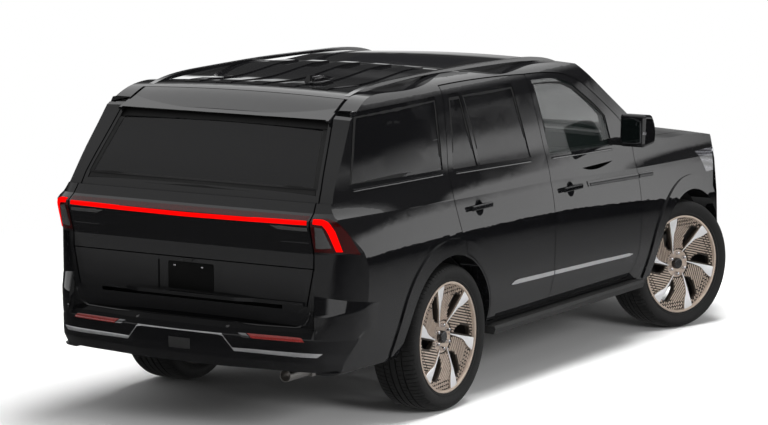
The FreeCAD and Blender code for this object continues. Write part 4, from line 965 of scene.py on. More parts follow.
rear_strip = fitted("rear_door_strip", on_side([(703, 625.5), (745, 638), (800, 641), (1230, 629)]),
                    on_side([(703, 621), (745, 616), (800, 615), (1230, 604)]), ["rear_door_right"],
                    **DOOR_STRIP)
attach(rear_strip, "rear_right_door", strip_metal, True, "rear_left_door")
front_strip = fitted("front_door_strip", on_side([(1242, 629), (2180, 602), (2240, 598), (2286, 588)]),
                     on_side([(1242, 604), (2180, 578), (2240, 578), (2286, 584)]), ["front_door_right"],
                     **DOOR_STRIP)
attach(front_strip, "front_right_door", strip_metal, True, "front_left_door")
graphite = Finish("graphite_trim", (0.06, 0.06, 0.062), roughness=0.32, metallic=0.9)
graphite.tone(graphite.noise(22.0), (0.045, 0.045, 0.047), (0.075, 0.075, 0.078))
door_name_strip = fitted("name_strip_door", on_side([(1716, 1110), (2384, 1087)]),
                         on_side([(1722, 1090), (2384, 1064)]), ["front_door_right"], **NAME_STRIP)
attach(door_name_strip, "front_right_door", graphite, True, "front_left_door")
fender_name_strip = fitted("name_strip_fender", on_side([(2399, 1086.5), (2598, 1078)], -1.0),
                           on_side([(2399, 1063.5), (2586, 1056)], -1.0), ["front_fenders"],
                           **NAME_STRIP)
attach(fender_name_strip, "chassis", graphite, True)
marker = fitted("side_marker", [(FRONT_AXLE + 0.408, -0.95, 0.748), (FRONT_AXLE + 0.436, -0.95, 0.648)],
                [(FRONT_AXLE + 0.424, -0.95, 0.748), (FRONT_AXLE + 0.452, -0.95, 0.648)], ["front_bumper"],
                lift=0.3, thick=2.0, step=8.0)
attach(marker, "chassis", glow, True)
print("side strips fitted")

# %% [markdown]
# ## Mirrors
# Each mirror's glass is a bright sheet in the back of the housing, and a slim lamp lies in its
# outer face. Both move with the front door that carries the housing.

# %% Mirror glass and the lamp in each mirror
mirror_glass = fitted("mirror_glass",
                      [(0.500, -1.030, 1.470), (0.500, -1.100, 1.484), (0.500, -1.165, 1.462)],
                      [(0.500, -1.034, 1.318), (0.500, -1.100, 1.312), (0.500, -1.170, 1.330)],
                      ["mirror_right"], lift=0.3, thick=1.5, step=12.0)
attach(mirror_glass, "front_right_door", mirror_face, True, "front_left_door")
mirror_lamp = fitted("mirror_lamp", [(0.545, -1.195, 1.398), (0.640, -1.195, 1.392)],
                     [(0.545, -1.195, 1.380), (0.640, -1.195, 1.376)], ["mirror_right"],
                     lift=-1.8, thick=2.0, step=10.0)
attach(mirror_lamp, "front_right_door", clear_lens, True, "front_left_door")
print("mirrors fitted")

# %% [markdown]
# ## Window frames
# The panes are bonded into a black rubber frame, and the frames of the side windows share one
# belt line. Each frame is a ring laid on its pane, between an outline and the same outline drawn
# in. The rear window has a sill below it and a header above it, as broad rubber lips.


# %% Frame the panes
SIDE_FRAME_WIDE = 20.0
REAR_FRAME_WIDE = 30.0


def drawn_in(corners, width):
    """The corners of an outline moved towards its middle."""
    middle = (sum(a for a, _ in corners) / len(corners), sum(b for _, b in corners) / len(corners))
    result = []
    for a, b in corners:
        away = math.hypot(middle[0] - a, middle[1] - b)
        result.append((a + (middle[0] - a) * width / away, b + (middle[1] - b) * width / away))
    return result


seal_rubber = Finish("seal_rubber", (0.004, 0.004, 0.004), roughness=0.55, Specular_IOR_Level=0.3)
seal_rubber.set("Roughness", seal_rubber.noise(60.0) * 0.2 + 0.45)
seal_rubber.bump(seal_rubber.noise(500.0), distance=0.0002, strength=0.4)
PANES = [
    ("front_window", "front_glass_right", "front_right_door", "front_left_door",
     [(2108, 1290), (2090, 1386), (2072, 1478), (1960, 1560), (1830, 1638), (1715, 1700), (1560, 1748),
      (1400, 1762), (1225, 1768), (1246, 1620), (1268, 1470), (1288, 1318), (1560, 1310), (1830, 1300)]),
    ("rear_window", "rear_glass_right", "rear_right_door", "rear_left_door",
     [(1055, 1328), (1018, 1550), (980, 1770), (690, 1772), (390, 1772), (422, 1560), (455, 1348),
      (750, 1338)]),
    ("fixed_light", "rear_glass_right", "rear_right_door", "rear_left_door",
     [(425, 1348), (392, 1560), (360, 1772), (245, 1772), (198, 1564), (150, 1356), (290, 1352)]),
    ("quarter_window", "quarter_glass", "chassis", "chassis",
     [(40, 1366), (68, 1569), (96, 1772), (-320, 1766), (-740, 1758), (-810, 1570), (-880, 1382),
      (-420, 1374)]),
]
REAR_PANE = [(-760, 1364), (-720, 1540), (-690, 1672), (0, 1690), (690, 1672), (720, 1540), (760, 1364),
             (0, 1364)]
REAR_PANE_FOOT = -2.44
REAR_PANE_LEAN = 0.7


def ring_on_side(corners):
    """A closed outline on the side of the car."""
    return on_side(corners + corners[:1], -0.9)


def ring_on_tail(corners):
    """A closed outline on the leaning rear window, whose foot is at its first corner's height."""
    return [(REAR_PANE_FOOT + (z - REAR_PANE[0][1]) * REAR_PANE_LEAN * MM, y * MM, z * MM)
            for y, z in corners + corners[:1]]


for name, host, body, other, corners in PANES:
    drawn = ring_on_side(drawn_in(corners, SIDE_FRAME_WIDE))
    frame_ring = fitted(name + "_frame", ring_on_side(corners), drawn, [host], **WINDOW_SEAL)
    attach(frame_ring, body, seal_rubber, True, other)
rear_drawn = ring_on_tail(drawn_in(REAR_PANE, REAR_FRAME_WIDE))
rear_ring = fitted("rear_window_frame", ring_on_tail(REAR_PANE), rear_drawn, ["liftgate_glass"],
                   **WINDOW_SEAL)
attach(rear_ring, "liftgate_body", seal_rubber)


def bowed(x, z):
    """Edge across the tail that follows the bow of the rear window."""
    return [(x + 0.009 * (y / 0.8) ** 2, y, z) for y in (-0.752, -0.4, 0.0, 0.4, 0.752)]


sill = fitted("rear_window_sill", bowed(-2.4425, 1.372), bowed(-2.4705, 1.330), [], **RUBBER_LIP)
attach(sill, "liftgate_body", seal_rubber)
header = fitted("rear_window_header", [(x, y * 0.9, z) for x, y, z in bowed(-2.1985, 1.708)],
                [(x, y * 0.92, z) for x, y, z in bowed(-2.2310, 1.664)], [], **RUBBER_LIP)
attach(header, "liftgate_body", seal_rubber)
print("panes framed")

# %% [markdown]
# ## Belt line and louvre lines
# A gloss black moulding seals each side window at the belt, with a length of its own on each
# door. The quarter window carries nine fine grey lines, printed on the real glass and laid here
# as thin strips, each a little shorter than the one below it.

# %% Belt mouldings and the quarter window's louvre lines
BELT_HEIGHT = 0.014
LINES = 9
LINE_PITCH = 17.5
BELT = [("belt_front", "front_door_right", "front_right_door", "front_left_door", (1300, 1302), (2096, 1274)),
        ("belt_rear", "rear_door_right", "rear_right_door", "rear_left_door", (168, 1340), (1046, 1312)),
        ("belt_quarter", "body_sides", "chassis", "chassis", (-862, 1366), (28, 1350))]
for name, host, body, other, (x0, z0), (x1, z1) in BELT:
    top = on_side([(x0, z0), ((x0 + x1) / 2, (z0 + z1) / 2), (x1, z1)], -0.93)
    low = [(x, y, z - BELT_HEIGHT) for x, y, z in top]
    belt = fitted(name, top, low, [host], lift=0.2, thick=2.5, step=26.0, edge=0.8)
    attach(belt, body, trim_black, True, other)
for number in range(LINES):
    z = 1392 + number * LINE_PITCH
    back, front = -150 + number * 19, 24 + number * 2.4
    line = fitted(f"louvre_line_{number}", on_side([(back, z + 6), (front, z + 6)], -0.88),
                  on_side([(back - 10, z), (front, z)], -0.88), ["quarter_glass"],
                  lift=0.1, thick=0.8, step=20.0, edge=0.0)
    attach(line, "chassis", graphite, True)
print("belt line and louvre lines fitted")

# %% [markdown]
# ## Bumper rim, step treads and bumper shoulder
# The rear bumper's painted rim stands round the tailgate's recess, and ribbed rubber treads lie
# on the side steps. The shoulder is the smooth shelf that runs from the tail round each corner.
# On the real bumper it is one pressing with the rest, whose section turns from a shelf into a
# soft edge. Its rows here each hold four places down the section, and a smooth curve runs
# through all rows.

# %% Rim of the rear bumper's recess and the treads
TREADS = 4
TREAD_PITCH = 0.026
TREAD_WIDE = 0.012
TREAD_ENDS = (REAR_AXLE + 0.56, REAR_AXLE + 2.38)
RIM = [(-2.546, -0.774, 0.715), (-2.546, -0.767, 0.6805), (-2.550, -0.7437, 0.6461),
       (-2.5544, -0.6857, 0.6278), (-2.5863, -0.4649, 0.6261), (-2.5976, -0.2, 0.6291), (-2.600, 0.0, 0.6291)]
RIM_LOW = [(-2.546, -0.782, 0.715), (-2.546, -0.775, 0.6785), (-2.552, -0.7497, 0.6401),
           (-2.5604, -0.6877, 0.6208), (-2.5923, -0.4649, 0.6191), (-2.6036, -0.2, 0.6221),
           (-2.606, 0.0, 0.6221)]
rim_line = fitted("bumper_rim", RIM, RIM_LOW, ["rear_bumper", "rear_panel"],
                  lift=0.2, thick=2.5, step=20.0, edge=0.9)
attach(rim_line, "chassis", paint, True)
for number in range(TREADS):
    y = -0.895 - TREAD_PITCH * number
    tread = fitted(f"step_tread_{number}", [(x, y, 0.41) for x in TREAD_ENDS],
                   [(x, y - TREAD_WIDE, 0.41) for x in TREAD_ENDS], ["side_steps"],
                   lift=0.2, thick=2.0, step=40.0, edge=0.7)
    attach(tread, "chassis", plastic, True)
print("rim and treads fitted")

# %% Shoulder of the bumper
SHOULDER = [
    [(-2.5432, -0.799, 0.803), (-2.5432, -0.799, 0.697), (-2.5432, -0.799, 0.625), (-2.5432, -0.799, 0.56)],
    [(-2.5432, -0.799, 0.803), (-2.57, -0.8155, 0.697), (-2.572, -0.8165, 0.625), (-2.5705, -0.8158, 0.56)],
    [(-2.5395, -0.822, 0.801), (-2.5625, -0.8365, 0.697), (-2.5645, -0.8372, 0.625), (-2.5625, -0.8362, 0.56)],
    [(-2.5307, -0.8547, 0.798), (-2.5475, -0.866, 0.698), (-2.5495, -0.8665, 0.625), (-2.5472, -0.865, 0.56)],
    [(-2.5166, -0.8842, 0.793), (-2.5275, -0.8925, 0.7), (-2.529, -0.8925, 0.625), (-2.527, -0.8903, 0.56)],
    [(-2.4887, -0.9175, 0.786), (-2.494, -0.9232, 0.703), (-2.4945, -0.9222, 0.625), (-2.4928, -0.9195, 0.56)],
    [(-2.4509, -0.9446, 0.778), (-2.453, -0.949, 0.706), (-2.4525, -0.9478, 0.625), (-2.4512, -0.9446, 0.56)],
    [(-2.4042, -0.9661, 0.77), (-2.405, -0.9705, 0.71), (-2.404, -0.969, 0.625), (-2.403, -0.9655, 0.56)],
    [(-2.3505, -0.9836, 0.762), (-2.351, -0.9865, 0.716), (-2.343, -0.9835, 0.625), (-2.34, -0.977, 0.56)],
    [(-2.2889, -0.9964, 0.752), (-2.289, -0.9975, 0.738), (-2.279, -0.9925, 0.625), (-2.263, -0.9805, 0.56)],
    [(-2.2092, -0.9988, 0.746), (-2.2085, -0.9985, 0.736), (-2.1995, -0.993, 0.629), (-2.184, -0.9842, 0.56)],
]


def curve_through(places, share):
    """Place on a smooth curve through all places, at a share of the way along them."""
    k = min(int(share * (len(places) - 1)), len(places) - 2)
    t = share * (len(places) - 1) - k
    a, b, c, d = (Vector(places[min(max(k + step, 0), len(places) - 1)]) for step in (-1, 0, 1, 2))
    return b + 0.5 * t * (c - a + t * (2 * a - 5 * b + 4 * c - d + t * (3 * (b - c) + d - a)))


def down_section(row, share):
    """Place at a share of the way down a row of four, straight between its places."""
    k = min(int(share * 3), 2)
    return Vector(row[k]).lerp(Vector(row[k + 1]), share * 3 - k)


ACROSS_SHARES = (0.0, 0.16, 0.30, 0.334, 0.37, 0.5, 0.667, 0.84, 1.0)
ROUND_STEPS = 40
columns = list(zip(*SHOULDER[1:]))
rows = [SHOULDER[0]]
rows += [[curve_through(column, n / ROUND_STEPS) for column in columns] for n in range(ROUND_STEPS + 1)]
grid = [[down_section(row, share) for share in ACROSS_SHARES] for row in rows]
shoulder = sheet("bumper_shoulder", grid, Vector((0, -1, 0)), thick=3.0, offset=-1.0)
bpy.ops.object.shade_smooth_by_angle(angle=SMOOTH_BELOW)
attach(shoulder, "chassis", paint, True)
print("shoulders", len(shoulder.data.polygons), "faces each")

# %% [markdown]
# ## Roof aerial and wipers
# The aerial is a moulded fin on a flat skirt that beds into the roof. Each wiper is a rubber
# blade that lies on the windshield near its foot, and an arm that presses on its middle. The
# arms stay behind the hood's rear edge, so that the hood swings clear of them.

# %% Fin of the roof aerial
FIN_TOP = 1891.0
FIN_SUNK = 8.0
FIN_FOOT = Vector((-1.64, -0.28, 1.86))
SKIRT = [(-1752, -298), (-1752, -262), (-1700, -246), (-1600, -250), (-1540, -266), (-1525, -280),
         (-1540, -294), (-1600, -310), (-1700, -314)]
_, foot, _, _ = NODES["roof"].closest_point_on_mesh(FIN_FOOT)
fin_low = foot.z / MM - FIN_SUNK
FIN_SIDE = [(-1742, fin_low + 8), (-1733, FIN_TOP), (-1664, FIN_TOP), (-1626, FIN_TOP - 6),
            (-1536, fin_low + 14)]
skirt = plate("fin_skirt", [(x, y, fin_low) for x, y in SKIRT], (0, 0, 20), bevel=6.0, segments=3)
fin = plate("aerial_fin", [(x, -289, z) for x, z in FIN_SIDE], (0, 18, 0), bevel=6.0, segments=3)
attach(joined("aerial_fin", [fin, skirt]), "chassis", paint)
print("fin made")

# %% Wipers on the windshield
WIPERS = [("left", 0.62, 0.06), ("right", -0.06, -0.60)]
for name, y0, y1 in WIPERS:
    blade = fitted(f"wiper_blade_{name}", [(1.250, y0, 1.335), (1.262, y1, 1.325)],
                   [(1.262, y0, 1.327), (1.274, y1, 1.317)], ["windshield"],
                   lift=3.0, thick=9.0, step=40.0, edge=1.5)
    attach(blade, "chassis", seal_rubber)
    middle = (y0 + y1) / 2 * 1000
    arm_outline = [(1244, middle, 1343), (1256, middle, 1336), (1262, middle - 210, 1319),
                   (1259, middle - 240, 1319)]
    arm = plate(f"wiper_arm_{name}", arm_outline, (5, 0, 8), bevel=1.5, segments=2)
    attach(arm, "chassis", trim_black)
print("wipers made")

# %% [markdown]
# ## The seats
# Real car seats are foam on a steel pan, in leather panels that are sewn along channels and pull
# the foam in. Each cushion starts as a bevelled slab a little smaller than its place. It is
# remeshed, blown up as cloth that is held along its channels, drawn in at them, and smoothed.
# One seat is made and copied to all six places, so that the simulation runs only once.

# %% Tools for cushions
SEAT_ROWS = [("front", 1720, 400, 640, 1.0), ("second", 780, 400, 650, 1.0),
             ("third", -130, 300, 740.3, 0.86)]
SEAT_NODES = {"front": "front_seats", "second": "second_row_seats", "third": "third_row_seats"}
CUSHION_GRID = 0.014
SEAM_DEPTH = 0.005
SWELL_FRAMES = 20


def blown_up(piece, channels, reach, pressure=4.0):
    """Swell a cushion as cloth held along its channels, keep each point within its reach, smooth it."""
    only(piece)
    mesher = piece.modifiers.new("mesh", "REMESH")
    mesher.mode = "VOXEL"
    mesher.voxel_size = CUSHION_GRID
    bpy.ops.object.modifier_apply(modifier=mesher.name)
    start = [v.co.copy() for v in piece.data.vertices]
    held = piece.vertex_groups.new(name="channels")
    sewn = [n for n, place in enumerate(start) if min(abs(c(place)) for c in channels) < CUSHION_GRID * 0.6]
    held.add(sewn, 1.0, "REPLACE")
    cloth = piece.modifiers.new("swell", "CLOTH")
    cloth.settings.use_pressure = True
    cloth.settings.uniform_pressure_force = pressure
    cloth.settings.effector_weights.gravity = 0.0
    cloth.settings.quality = 4
    cloth.settings.vertex_group_mass = held.name
    cloth.point_cache.frame_start = 1
    cloth.point_cache.frame_end = SWELL_FRAMES
    for step in range(1, SWELL_FRAMES + 1):
        bpy.context.scene.frame_set(step)
    bpy.ops.object.modifier_apply(modifier=cloth.name)
    bpy.context.scene.frame_set(1)
    for vertex, before in zip(piece.data.vertices, start):
        moved = vertex.co - before
        if moved.length > reach:
            vertex.co = before + moved * (reach / moved.length)
    normals = [v.normal.copy() for v in piece.data.vertices]
    for number in sewn:
        piece.data.vertices[number].co -= normals[number] * SEAM_DEPTH
    finer = piece.modifiers.new("finer", "SUBSURF")
    finer.levels = finer.render_levels = 1
    bpy.ops.object.modifier_apply(modifier=finer.name)
    for face in piece.data.polygons:
        face.use_smooth = True
    return piece


def slab(name, outline, half, round_off=30.0):
    """Bevelled slab across the car from a side outline in millimetres."""
    return plate(name, [(x, -half, z) for x, z in outline], (0, 2 * half, 0), round_off, segments=4)


def line_y(place):
    """Channel planes along the seat, one on each side of its middle panel."""
    return lambda p: p.y - place


def line_x(place):
    """Channel plane across the cushion."""
    return lambda p: p.x - place


def line_z(place):
    """Channel plane across the backrest."""
    return lambda p: p.z - place


# %% Blow up the cushions of one seat
hide = Finish("seat_leather_black", (0.012, 0.012, 0.013), roughness=0.42, Coat_Weight=0.1)
hide.set("Roughness", hide.noise(9.0) * 0.14 + 0.36)
hide.bump(hide.cells(420.0), distance=0.0006, strength=0.25)
SEAT = [(12, 12), (508, 12), (530, 80), (510, 138), (300, 128), (118, 120), (14, 108)]
BACK = [(-6, 126), (106, 132), (50, 300), (-28, 556), (-78, 718), (-102, 746), (-138, 728), (-120, 500),
        (-54, 128)]
HEAD = [(-164, 776), (-96, 778), (-90, 850), (-100, 906), (-130, 914), (-160, 904), (-170, 850)]
seat_channels = [line_y(-0.150), line_y(0.150), line_x(0.330)]
back_channels = [line_y(-0.145), line_y(0.145), line_z(0.330), line_z(0.560)]
head_channels = [line_y(-0.085), line_y(0.085)]
cushion = blown_up(slab("seat_cushion", SEAT, half=248.0), seat_channels, reach=0.012)
backrest = blown_up(slab("seat_back", BACK, half=244.0, round_off=24.0), back_channels, reach=0.010)
headrest = blown_up(slab("headrest", HEAD, half=122.0, round_off=22.0), head_channels, reach=0.008)
print("cushions", [len(c.data.polygons) for c in (cushion, backrest, headrest)])

# %% Add the seat's shell, posts, pan and side covers
SHELL = [(-58, 96), (-126, 498), (-146, 728), (-140, 742), (-128, 738), (-118, 500), (-48, 100)]
COVER = [(-40, 40), (60, 10), (440, -6), (480, 20), (440, 52), (120, 66), (0, 120), (-40, 96)]
FOOT = [(24, -1), (436, -1), (420, -60), (400, -150), (60, -150), (40, -60)]
back_shell = slab("back_shell", SHELL, half=212.0, round_off=3.0)
pan = slab("seat_pan", [(6, 2), (500, 2), (520, 26), (500, 22), (6, 20)], half=236.0, round_off=2.0)
posts = []
for y in (-55, 55):
    post = lathe("headrest_post", [(690, 0), (690, 6), (782, 6), (782, 0)], steps=24)
    post.data.transform(Matrix.Translation((-0.126, y * MM, 0)) @ UPRIGHT)
    posts.append(post)
posts = joined("headrest_posts", posts)
covers = []
for side in (-1, 1):
    covers.append(plate("side_cover", [(x, side * 238, z) for x, z in COVER], (0, side * 14, 0),
                        bevel=4.0, segments=3))
covers = joined("side_covers", covers)
feet = []
for y in (-150, 118):
    feet.append(plate("seat_foot", [(x, y, z) for x, z in FOOT], (0, 32, 0), bevel=5.0, segments=2))
feet = joined("seat_feet", feet)
print("seat fittings made")

# %% Copy the seat to its six places
for row, x, y, z, scale in SEAT_ROWS:
    for side, mark in ((1, "left"), (-1, "right")):
        home = Matrix.Translation((REAR_AXLE + x * MM, side * y * MM, z * MM))
        home = home @ Matrix.Diagonal((scale, 1, 1, 1))
        for source, slot_name, finish, fill in ((cushion, "seat_leather", hide, 0.7),
                                                (backrest, "seat_leather", hide, 0.7),
                                                (headrest, "seat_leather", hide, 0.8),
                                                (back_shell, "dark_plastic", plastic, None),
                                                (pan, "dark_plastic", plastic, None),
                                                (posts, "bright_trim", chrome, None),
                                                (covers, "dark_plastic", plastic, None),
                                                (feet, "dark_plastic", plastic, None)):
            if source == feet and row == "third":
                continue
            part = copied(source, f"{row}_{source.name}_{mark}", home)
            attach(part, "chassis", finish)
            if source == cushion and side == 1:
                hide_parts(SEAT_NODES[row])
for source in (cushion, backrest, headrest, back_shell, pan, posts, covers, feet):
    bpy.data.objects.remove(source)
print("six seats placed")

# %% [markdown]
# ## Cabin fittings and the front end
# The cabin is moulded plastic with soft pads where arms rest. The photograph hides most of it and
# the whole nose, so these pieces follow common practice: a wide dark screen on the dashboard, four
# louvred vents, padded armrests, lamp cells behind a light strip, and slats in the lower intake.

# %% Dress the dashboard and the console
screen_glass = Finish("screen_glass", (0.004, 0.004, 0.005), roughness=0.06, Coat_Weight=1.0)
screen_glass.set("Roughness", screen_glass.noise(20.0) * 0.04 + 0.04)
dash_screen = fitted("dash_screen", [(0.79, 0.66, 1.165), (0.79, 0.0, 1.165), (0.79, -0.30, 1.165)],
                     [(0.78, 0.66, 1.085), (0.78, 0.0, 1.085), (0.78, -0.30, 1.085)], ["dashboard"],
                     lift=0.5, thick=10.0, step=40.0, edge=3.0)
attach(dash_screen, "chassis", screen_glass)
dash_strip = fitted("dash_strip", [(0.77, 0.84, 1.050), (0.77, 0.0, 1.050), (0.77, -0.84, 1.050)],
                    [(0.77, 0.84, 1.030), (0.77, 0.0, 1.030), (0.77, -0.84, 1.030)], ["dashboard"],
                    lift=0.2, thick=3.0, step=40.0, edge=1.0)
attach(dash_strip, "chassis", dark_chrome)
VENTS = (0.78, 0.12, -0.14, -0.78)
VENT_HALF = 0.055
SLAT_PITCH = 0.014
for number, y in enumerate(VENTS):
    slats = []
    for k in range(5):
        z = 0.955 + k * SLAT_PITCH
        ends = (y - VENT_HALF, y + VENT_HALF)
        slats.append(fitted("slat", [(0.77, end, z + SLAT_PITCH / 2) for end in ends],
                            [(0.77, end, z) for end in ends], ["dashboard"],
                            lift=0.2, thick=6.0, step=60.0, edge=1.0))
    attach(joined(f"vent_{number}", slats), "chassis", trim_black)
armrest = fitted("console_pad", [(0.250, 0.098, 0.772), (0.540, 0.098, 0.772)],
                 [(0.250, -0.098, 0.772), (0.540, -0.098, 0.772)], ["console"],
                 lift=0.2, thick=26.0, step=30.0, edge=10.0)
attach(armrest, "chassis", hide)
cup = lathe("cup_ring", [(0, 34), (4, 36), (6, 40), (4, 43), (0, 44)], steps=48)
for number, y in enumerate((-0.045, 0.045)):
    cup_ring = copied(cup, f"cup_ring_{number}", Matrix.Translation((0.64, y, 0.770)) @ UPRIGHT)
    attach(cup_ring, "chassis", dark_chrome)
bpy.data.objects.remove(cup)
print("dashboard and console dressed")

# %% Armrests and speakers on the doors
DOORS = [("front", "front_right_door", "front_left_door", -40, 560),
         ("rear", "rear_right_door", "rear_left_door", -1020, -440)]
REST_LOW, REST_HIGH = 950, 1012
SPEAKER = [(0, 0), (0, 76), (5, 76), (8, 72), (8, 66), (5, 63), (4, 20), (7, 10), (7, 0)]
speaker = lathe("speaker", SPEAKER, steps=64)
for row, body, other, x0, x1 in DOORS:
    corners = [(x0, -912), (x1, -912), (x1, -872), (x1 - 60, -846), (x0 + 50, -838), (x0, -856)]
    up = (0, 0, REST_HIGH - REST_LOW)
    rest = plate(f"{row}_armrest", [(x, y, REST_LOW) for x, y in corners], up, bevel=14.0, segments=4)
    attach(rest, body, hide, True, other)
    near = Vector(((x1 - 90) * MM, -0.70, 0.66))
    _, spot, normal, _ = NODES[f"{row}_door_right"].closest_point_on_mesh(near)
    grille_disc = copied(speaker, f"{row}_speaker", standing(spot, normal))
    attach(grille_disc, body, plastic, True, other)
bpy.data.objects.remove(speaker)
print("doors fitted out")

# %% Lamp cells, light strip and intake slats at the nose
STRIP_HEIGHT = 0.016
LAMP_CELLS = [(2.60, -0.665), (2.58, -0.735), (2.53, -0.805)]
SLAT_SECTION = [(2486, -4), (2530, -6), (2548, 0), (2530, 6), (2486, 4)]
INTAKE_SLATS = 4
white_strip = Finish("light_strip_lens", (0.55, 0.56, 0.58), roughness=0.15, Coat_Weight=0.6)
white_strip.set("Roughness", white_strip.noise(80.0) * 0.1 + 0.1)
edge_top = [(2.60, -0.62, 1.116), (2.55, -0.76, 1.116), (2.44, -0.88, 1.116), (2.20, -0.955, 1.116)]
edge_low = [(x, y, z - STRIP_HEIGHT) for x, y, z in edge_top]
light_strip = fitted("light_strip", edge_top, edge_low, ["headlamps"],
                     lift=0.3, thick=2.5, step=16.0, edge=0.7)
attach(light_strip, "chassis", white_strip, True)
cell = lathe("lamp_cell", [(0, 0), (0, 26), (3, 27), (6, 25), (6, 22), (3, 20), (6, 12), (8, 0)], steps=48)
for number, (x, y) in enumerate(LAMP_CELLS):
    _, spot, normal, _ = NODES["headlamps"].closest_point_on_mesh(Vector((x, y, 1.048)))
    one = copied(cell, f"lamp_cell_{number}", standing(spot, normal))
    attach(one, "chassis", mirror_face, True)
bpy.data.objects.remove(cell)
slats = []
for k in range(INTAKE_SLATS):
    z = 425 + k * 38
    slats.append(plate("slat", [(x, -518, z + h) for x, h in SLAT_SECTION], (0, 1036, 0),
                       bevel=1.5, segments=2))
attach(joined("intake_slats", slats), "chassis", trim_black)
print("nose fitted")

# %% [markdown]
# ## The studio
# The car stands on a pale floor in an even white light. Black cloth screens stand round it, out
# of the picture, so that the paint mirrors dark cloth low down and the bright ceiling higher up.

# %% Lay the floor
FLOOR_SIZE = 160.0
FLOOR_FADE = 6.0
bpy.ops.object.select_all(action="DESELECT")
bpy.ops.mesh.primitive_plane_add(size=FLOOR_SIZE, location=(0, 0, 0))
floor = bpy.context.object
floor.name = "studio_floor"
floor_finish = Finish("pale_floor", (0.80, 0.80, 0.80), roughness=0.9, Specular_IOR_Level=0.0)
floor_glow = floor_finish.fade_out(3.4, FLOOR_FADE)
floor_finish.tone(floor_glow, (0.80, 0.80, 0.80), (0.0, 0.0, 0.0))
floor_finish.set("Emission Color", floor_finish.blend(floor_glow, (0.0, 0.0, 0.0), (1.0, 1.0, 1.0)))
floor_finish.set("Emission Strength", 1.0)
dress(floor, floor_finish)

# %% Hang the dark screens
SCREEN_FAR = 15.0
SCREEN_HEIGHT = 9.0
CARPET_HEIGHT = 0.004


def disc(name, height):
    """A flat round screen as wide as the ring of screens."""
    bpy.ops.object.select_all(action="DESELECT")
    bpy.ops.mesh.primitive_circle_add(
        vertices=96, radius=SCREEN_FAR, fill_type="TRIFAN", location=(0, 0, height)
    )
    made = bpy.context.object
    made.name = name
    return made


def card(name):
    """Finish of a card that the paint mirrors: black cloth, lit where it is set to glow."""
    made = Finish(name, (0.0, 0.0, 0.0), roughness=1.0, Specular_IOR_Level=0.0)
    made.set("Emission Strength", 1.0)
    return made


def ramp(finish, value, start, end, low=0.0, high=1.0):
    """Go smoothly from low to high while a value goes from start to end."""
    return finish.node(
        "MapRange", {"interpolation_type": "SMOOTHSTEP"},
        {"Value": value, "From Min": start, "From Max": end, "To Min": low, "To Max": high},
    )


bpy.ops.object.select_all(action="DESELECT")
bpy.ops.mesh.primitive_cylinder_add(
    vertices=96, radius=SCREEN_FAR, depth=SCREEN_HEIGHT, end_fill_type="NOTHING",
    location=(0, 0, SCREEN_HEIGHT / 2),
)
screens = bpy.context.object
screens.name = "dark_screens"
bpy.ops.object.transform_apply(location=True, rotation=False, scale=False)
wall_card = card("wall_card")
side = ramp(wall_card, abs(wall_card.axis(1) - 1.5), start=4.0, end=9.5, low=0.12, high=1.0)
band = side * ramp(wall_card, wall_card.axis(2), start=2.2, end=3.5, low=1.0, high=0.0)
climb = ramp(wall_card, wall_card.axis(2), start=6.2, end=10.0, low=0.03, high=0.6)
wall_card.set("Emission Color", wall_card.blend(band + climb, (0.0, 0.0, 0.0), (1.4, 1.4, 1.4)))
dress(screens, wall_card)
carpet = disc("dark_carpet", CARPET_HEIGHT)
floor_card = card("floor_card")
near = 1.0 - floor_card.fade_out(near=3.0, far=8.0)
beside = ramp(floor_card, floor_card.axis(1), start=0.0, end=-2.0, low=0.22, high=1.0)
behind = ramp(floor_card, floor_card.axis(0), start=-5.0, end=-8.5, low=0.0, high=1.4)
floor_share = near * beside + behind
floor_card.set("Emission Color", floor_card.blend(floor_share, (0.0, 0.0, 0.0), (0.42, 0.42, 0.42)))
dress(carpet, floor_card)
ceiling = disc("pale_ceiling", SCREEN_HEIGHT)
ceiling_card = card("ceiling_card")
ahead = ramp(ceiling_card, ceiling_card.axis(0), start=-7.0, end=2.0)
ceiling_card.set("Emission Color", ceiling_card.blend(ahead, (0.6, 0.6, 0.6), (1.35, 1.35, 1.35)))
dress(ceiling, ceiling_card)
for screen in (screens, carpet, ceiling):
    screen.visible_camera = False
    screen.visible_diffuse = False
    screen.visible_transmission = False
    screen.visible_shadow = False

# %% Light the studio
world = bpy.data.worlds.new("studio_world")
bpy.context.scene.world = world
world.use_nodes = True
tree = world.node_tree
tree.nodes.clear()
out = tree.nodes.new("ShaderNodeOutputWorld")
sky = tree.nodes.new("ShaderNodeBackground")
sky.inputs["Strength"].default_value = 0.40
wall = tree.nodes.new("ShaderNodeBackground")
wall.inputs["Strength"].default_value = 1.0
for background in (sky, wall):
    background.inputs["Color"].default_value = (1.0, 1.0, 1.0, 1.0)
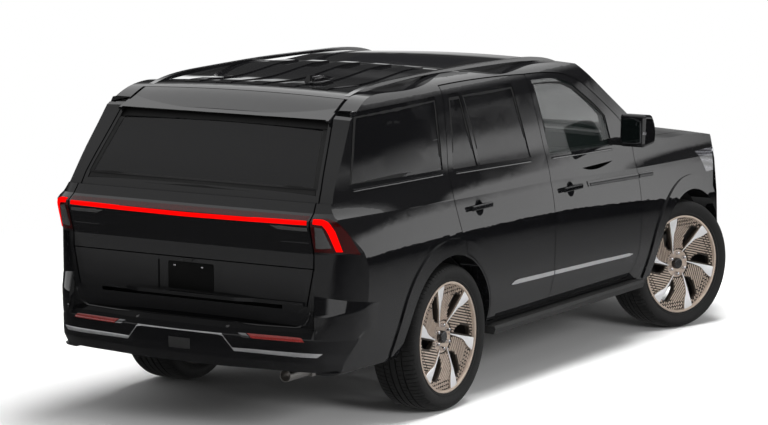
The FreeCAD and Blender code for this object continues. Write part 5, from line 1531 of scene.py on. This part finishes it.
# The camera, mirrors and glass see the bright wall, and everything else is lit by the dimmer sky.
path = tree.nodes.new("ShaderNodeLightPath")
seen = tree.nodes.new("ShaderNodeMath")
seen.operation = "MAXIMUM"
tree.links.new(path.outputs["Is Camera Ray"], seen.inputs[0])
tree.links.new(path.outputs["Is Glossy Ray"], seen.inputs[1])
seen_through = tree.nodes.new("ShaderNodeMath")
seen_through.operation = "MAXIMUM"
tree.links.new(seen.outputs[0], seen_through.inputs[0])
tree.links.new(path.outputs["Is Transmission Ray"], seen_through.inputs[1])
choose = tree.nodes.new("ShaderNodeMixShader")
tree.links.new(seen_through.outputs[0], choose.inputs[0])
tree.links.new(sky.outputs[0], choose.inputs[1])
tree.links.new(wall.outputs[0], choose.inputs[2])
tree.links.new(choose.outputs[0], out.inputs[0])


def lamp(name, place, aim, size, power):
    """A soft box at a place that shines towards another, and is never mirrored itself."""
    bpy.ops.object.select_all(action="DESELECT")
    bpy.ops.object.light_add(type="AREA", location=place)
    made = bpy.context.object
    made.name = name
    made.data.shape = "RECTANGLE"
    made.data.size, made.data.size_y = size
    made.data.energy = power
    made.rotation_euler = (Vector(aim) - Vector(place)).to_track_quat("-Z", "Y").to_euler()
    made.visible_glossy = False
    return made


lamp("ceiling_lamp", (0.8, -0.6, 7.5), (0.2, 0.0, 0.0), (6.0, 4.0), power=1300.0)
lamp("side_lamp", (-4.0, -9.0, 4.2), (0.0, 0.0, 0.5), (4.0, 2.5), power=420.0)
print("studio lit by two lamps and a white world")

# %% Set up the camera
LENS = 143.26
CAMERA_PLACE = (-16.1418, -9.4934, 3.5833)
CAMERA_TURN = (math.radians(81.797), 0.0, math.radians(-58.750))
bpy.ops.object.camera_add(location=CAMERA_PLACE, rotation=CAMERA_TURN)
camera = bpy.context.object
camera.name = "studio_camera"
camera.data.lens = LENS
camera.data.sensor_width = 36.0
camera.data.shift_x = -0.0008
camera.data.clip_end = 300.0
bpy.context.scene.camera = camera
bpy.context.scene.view_settings.view_transform = "Standard"
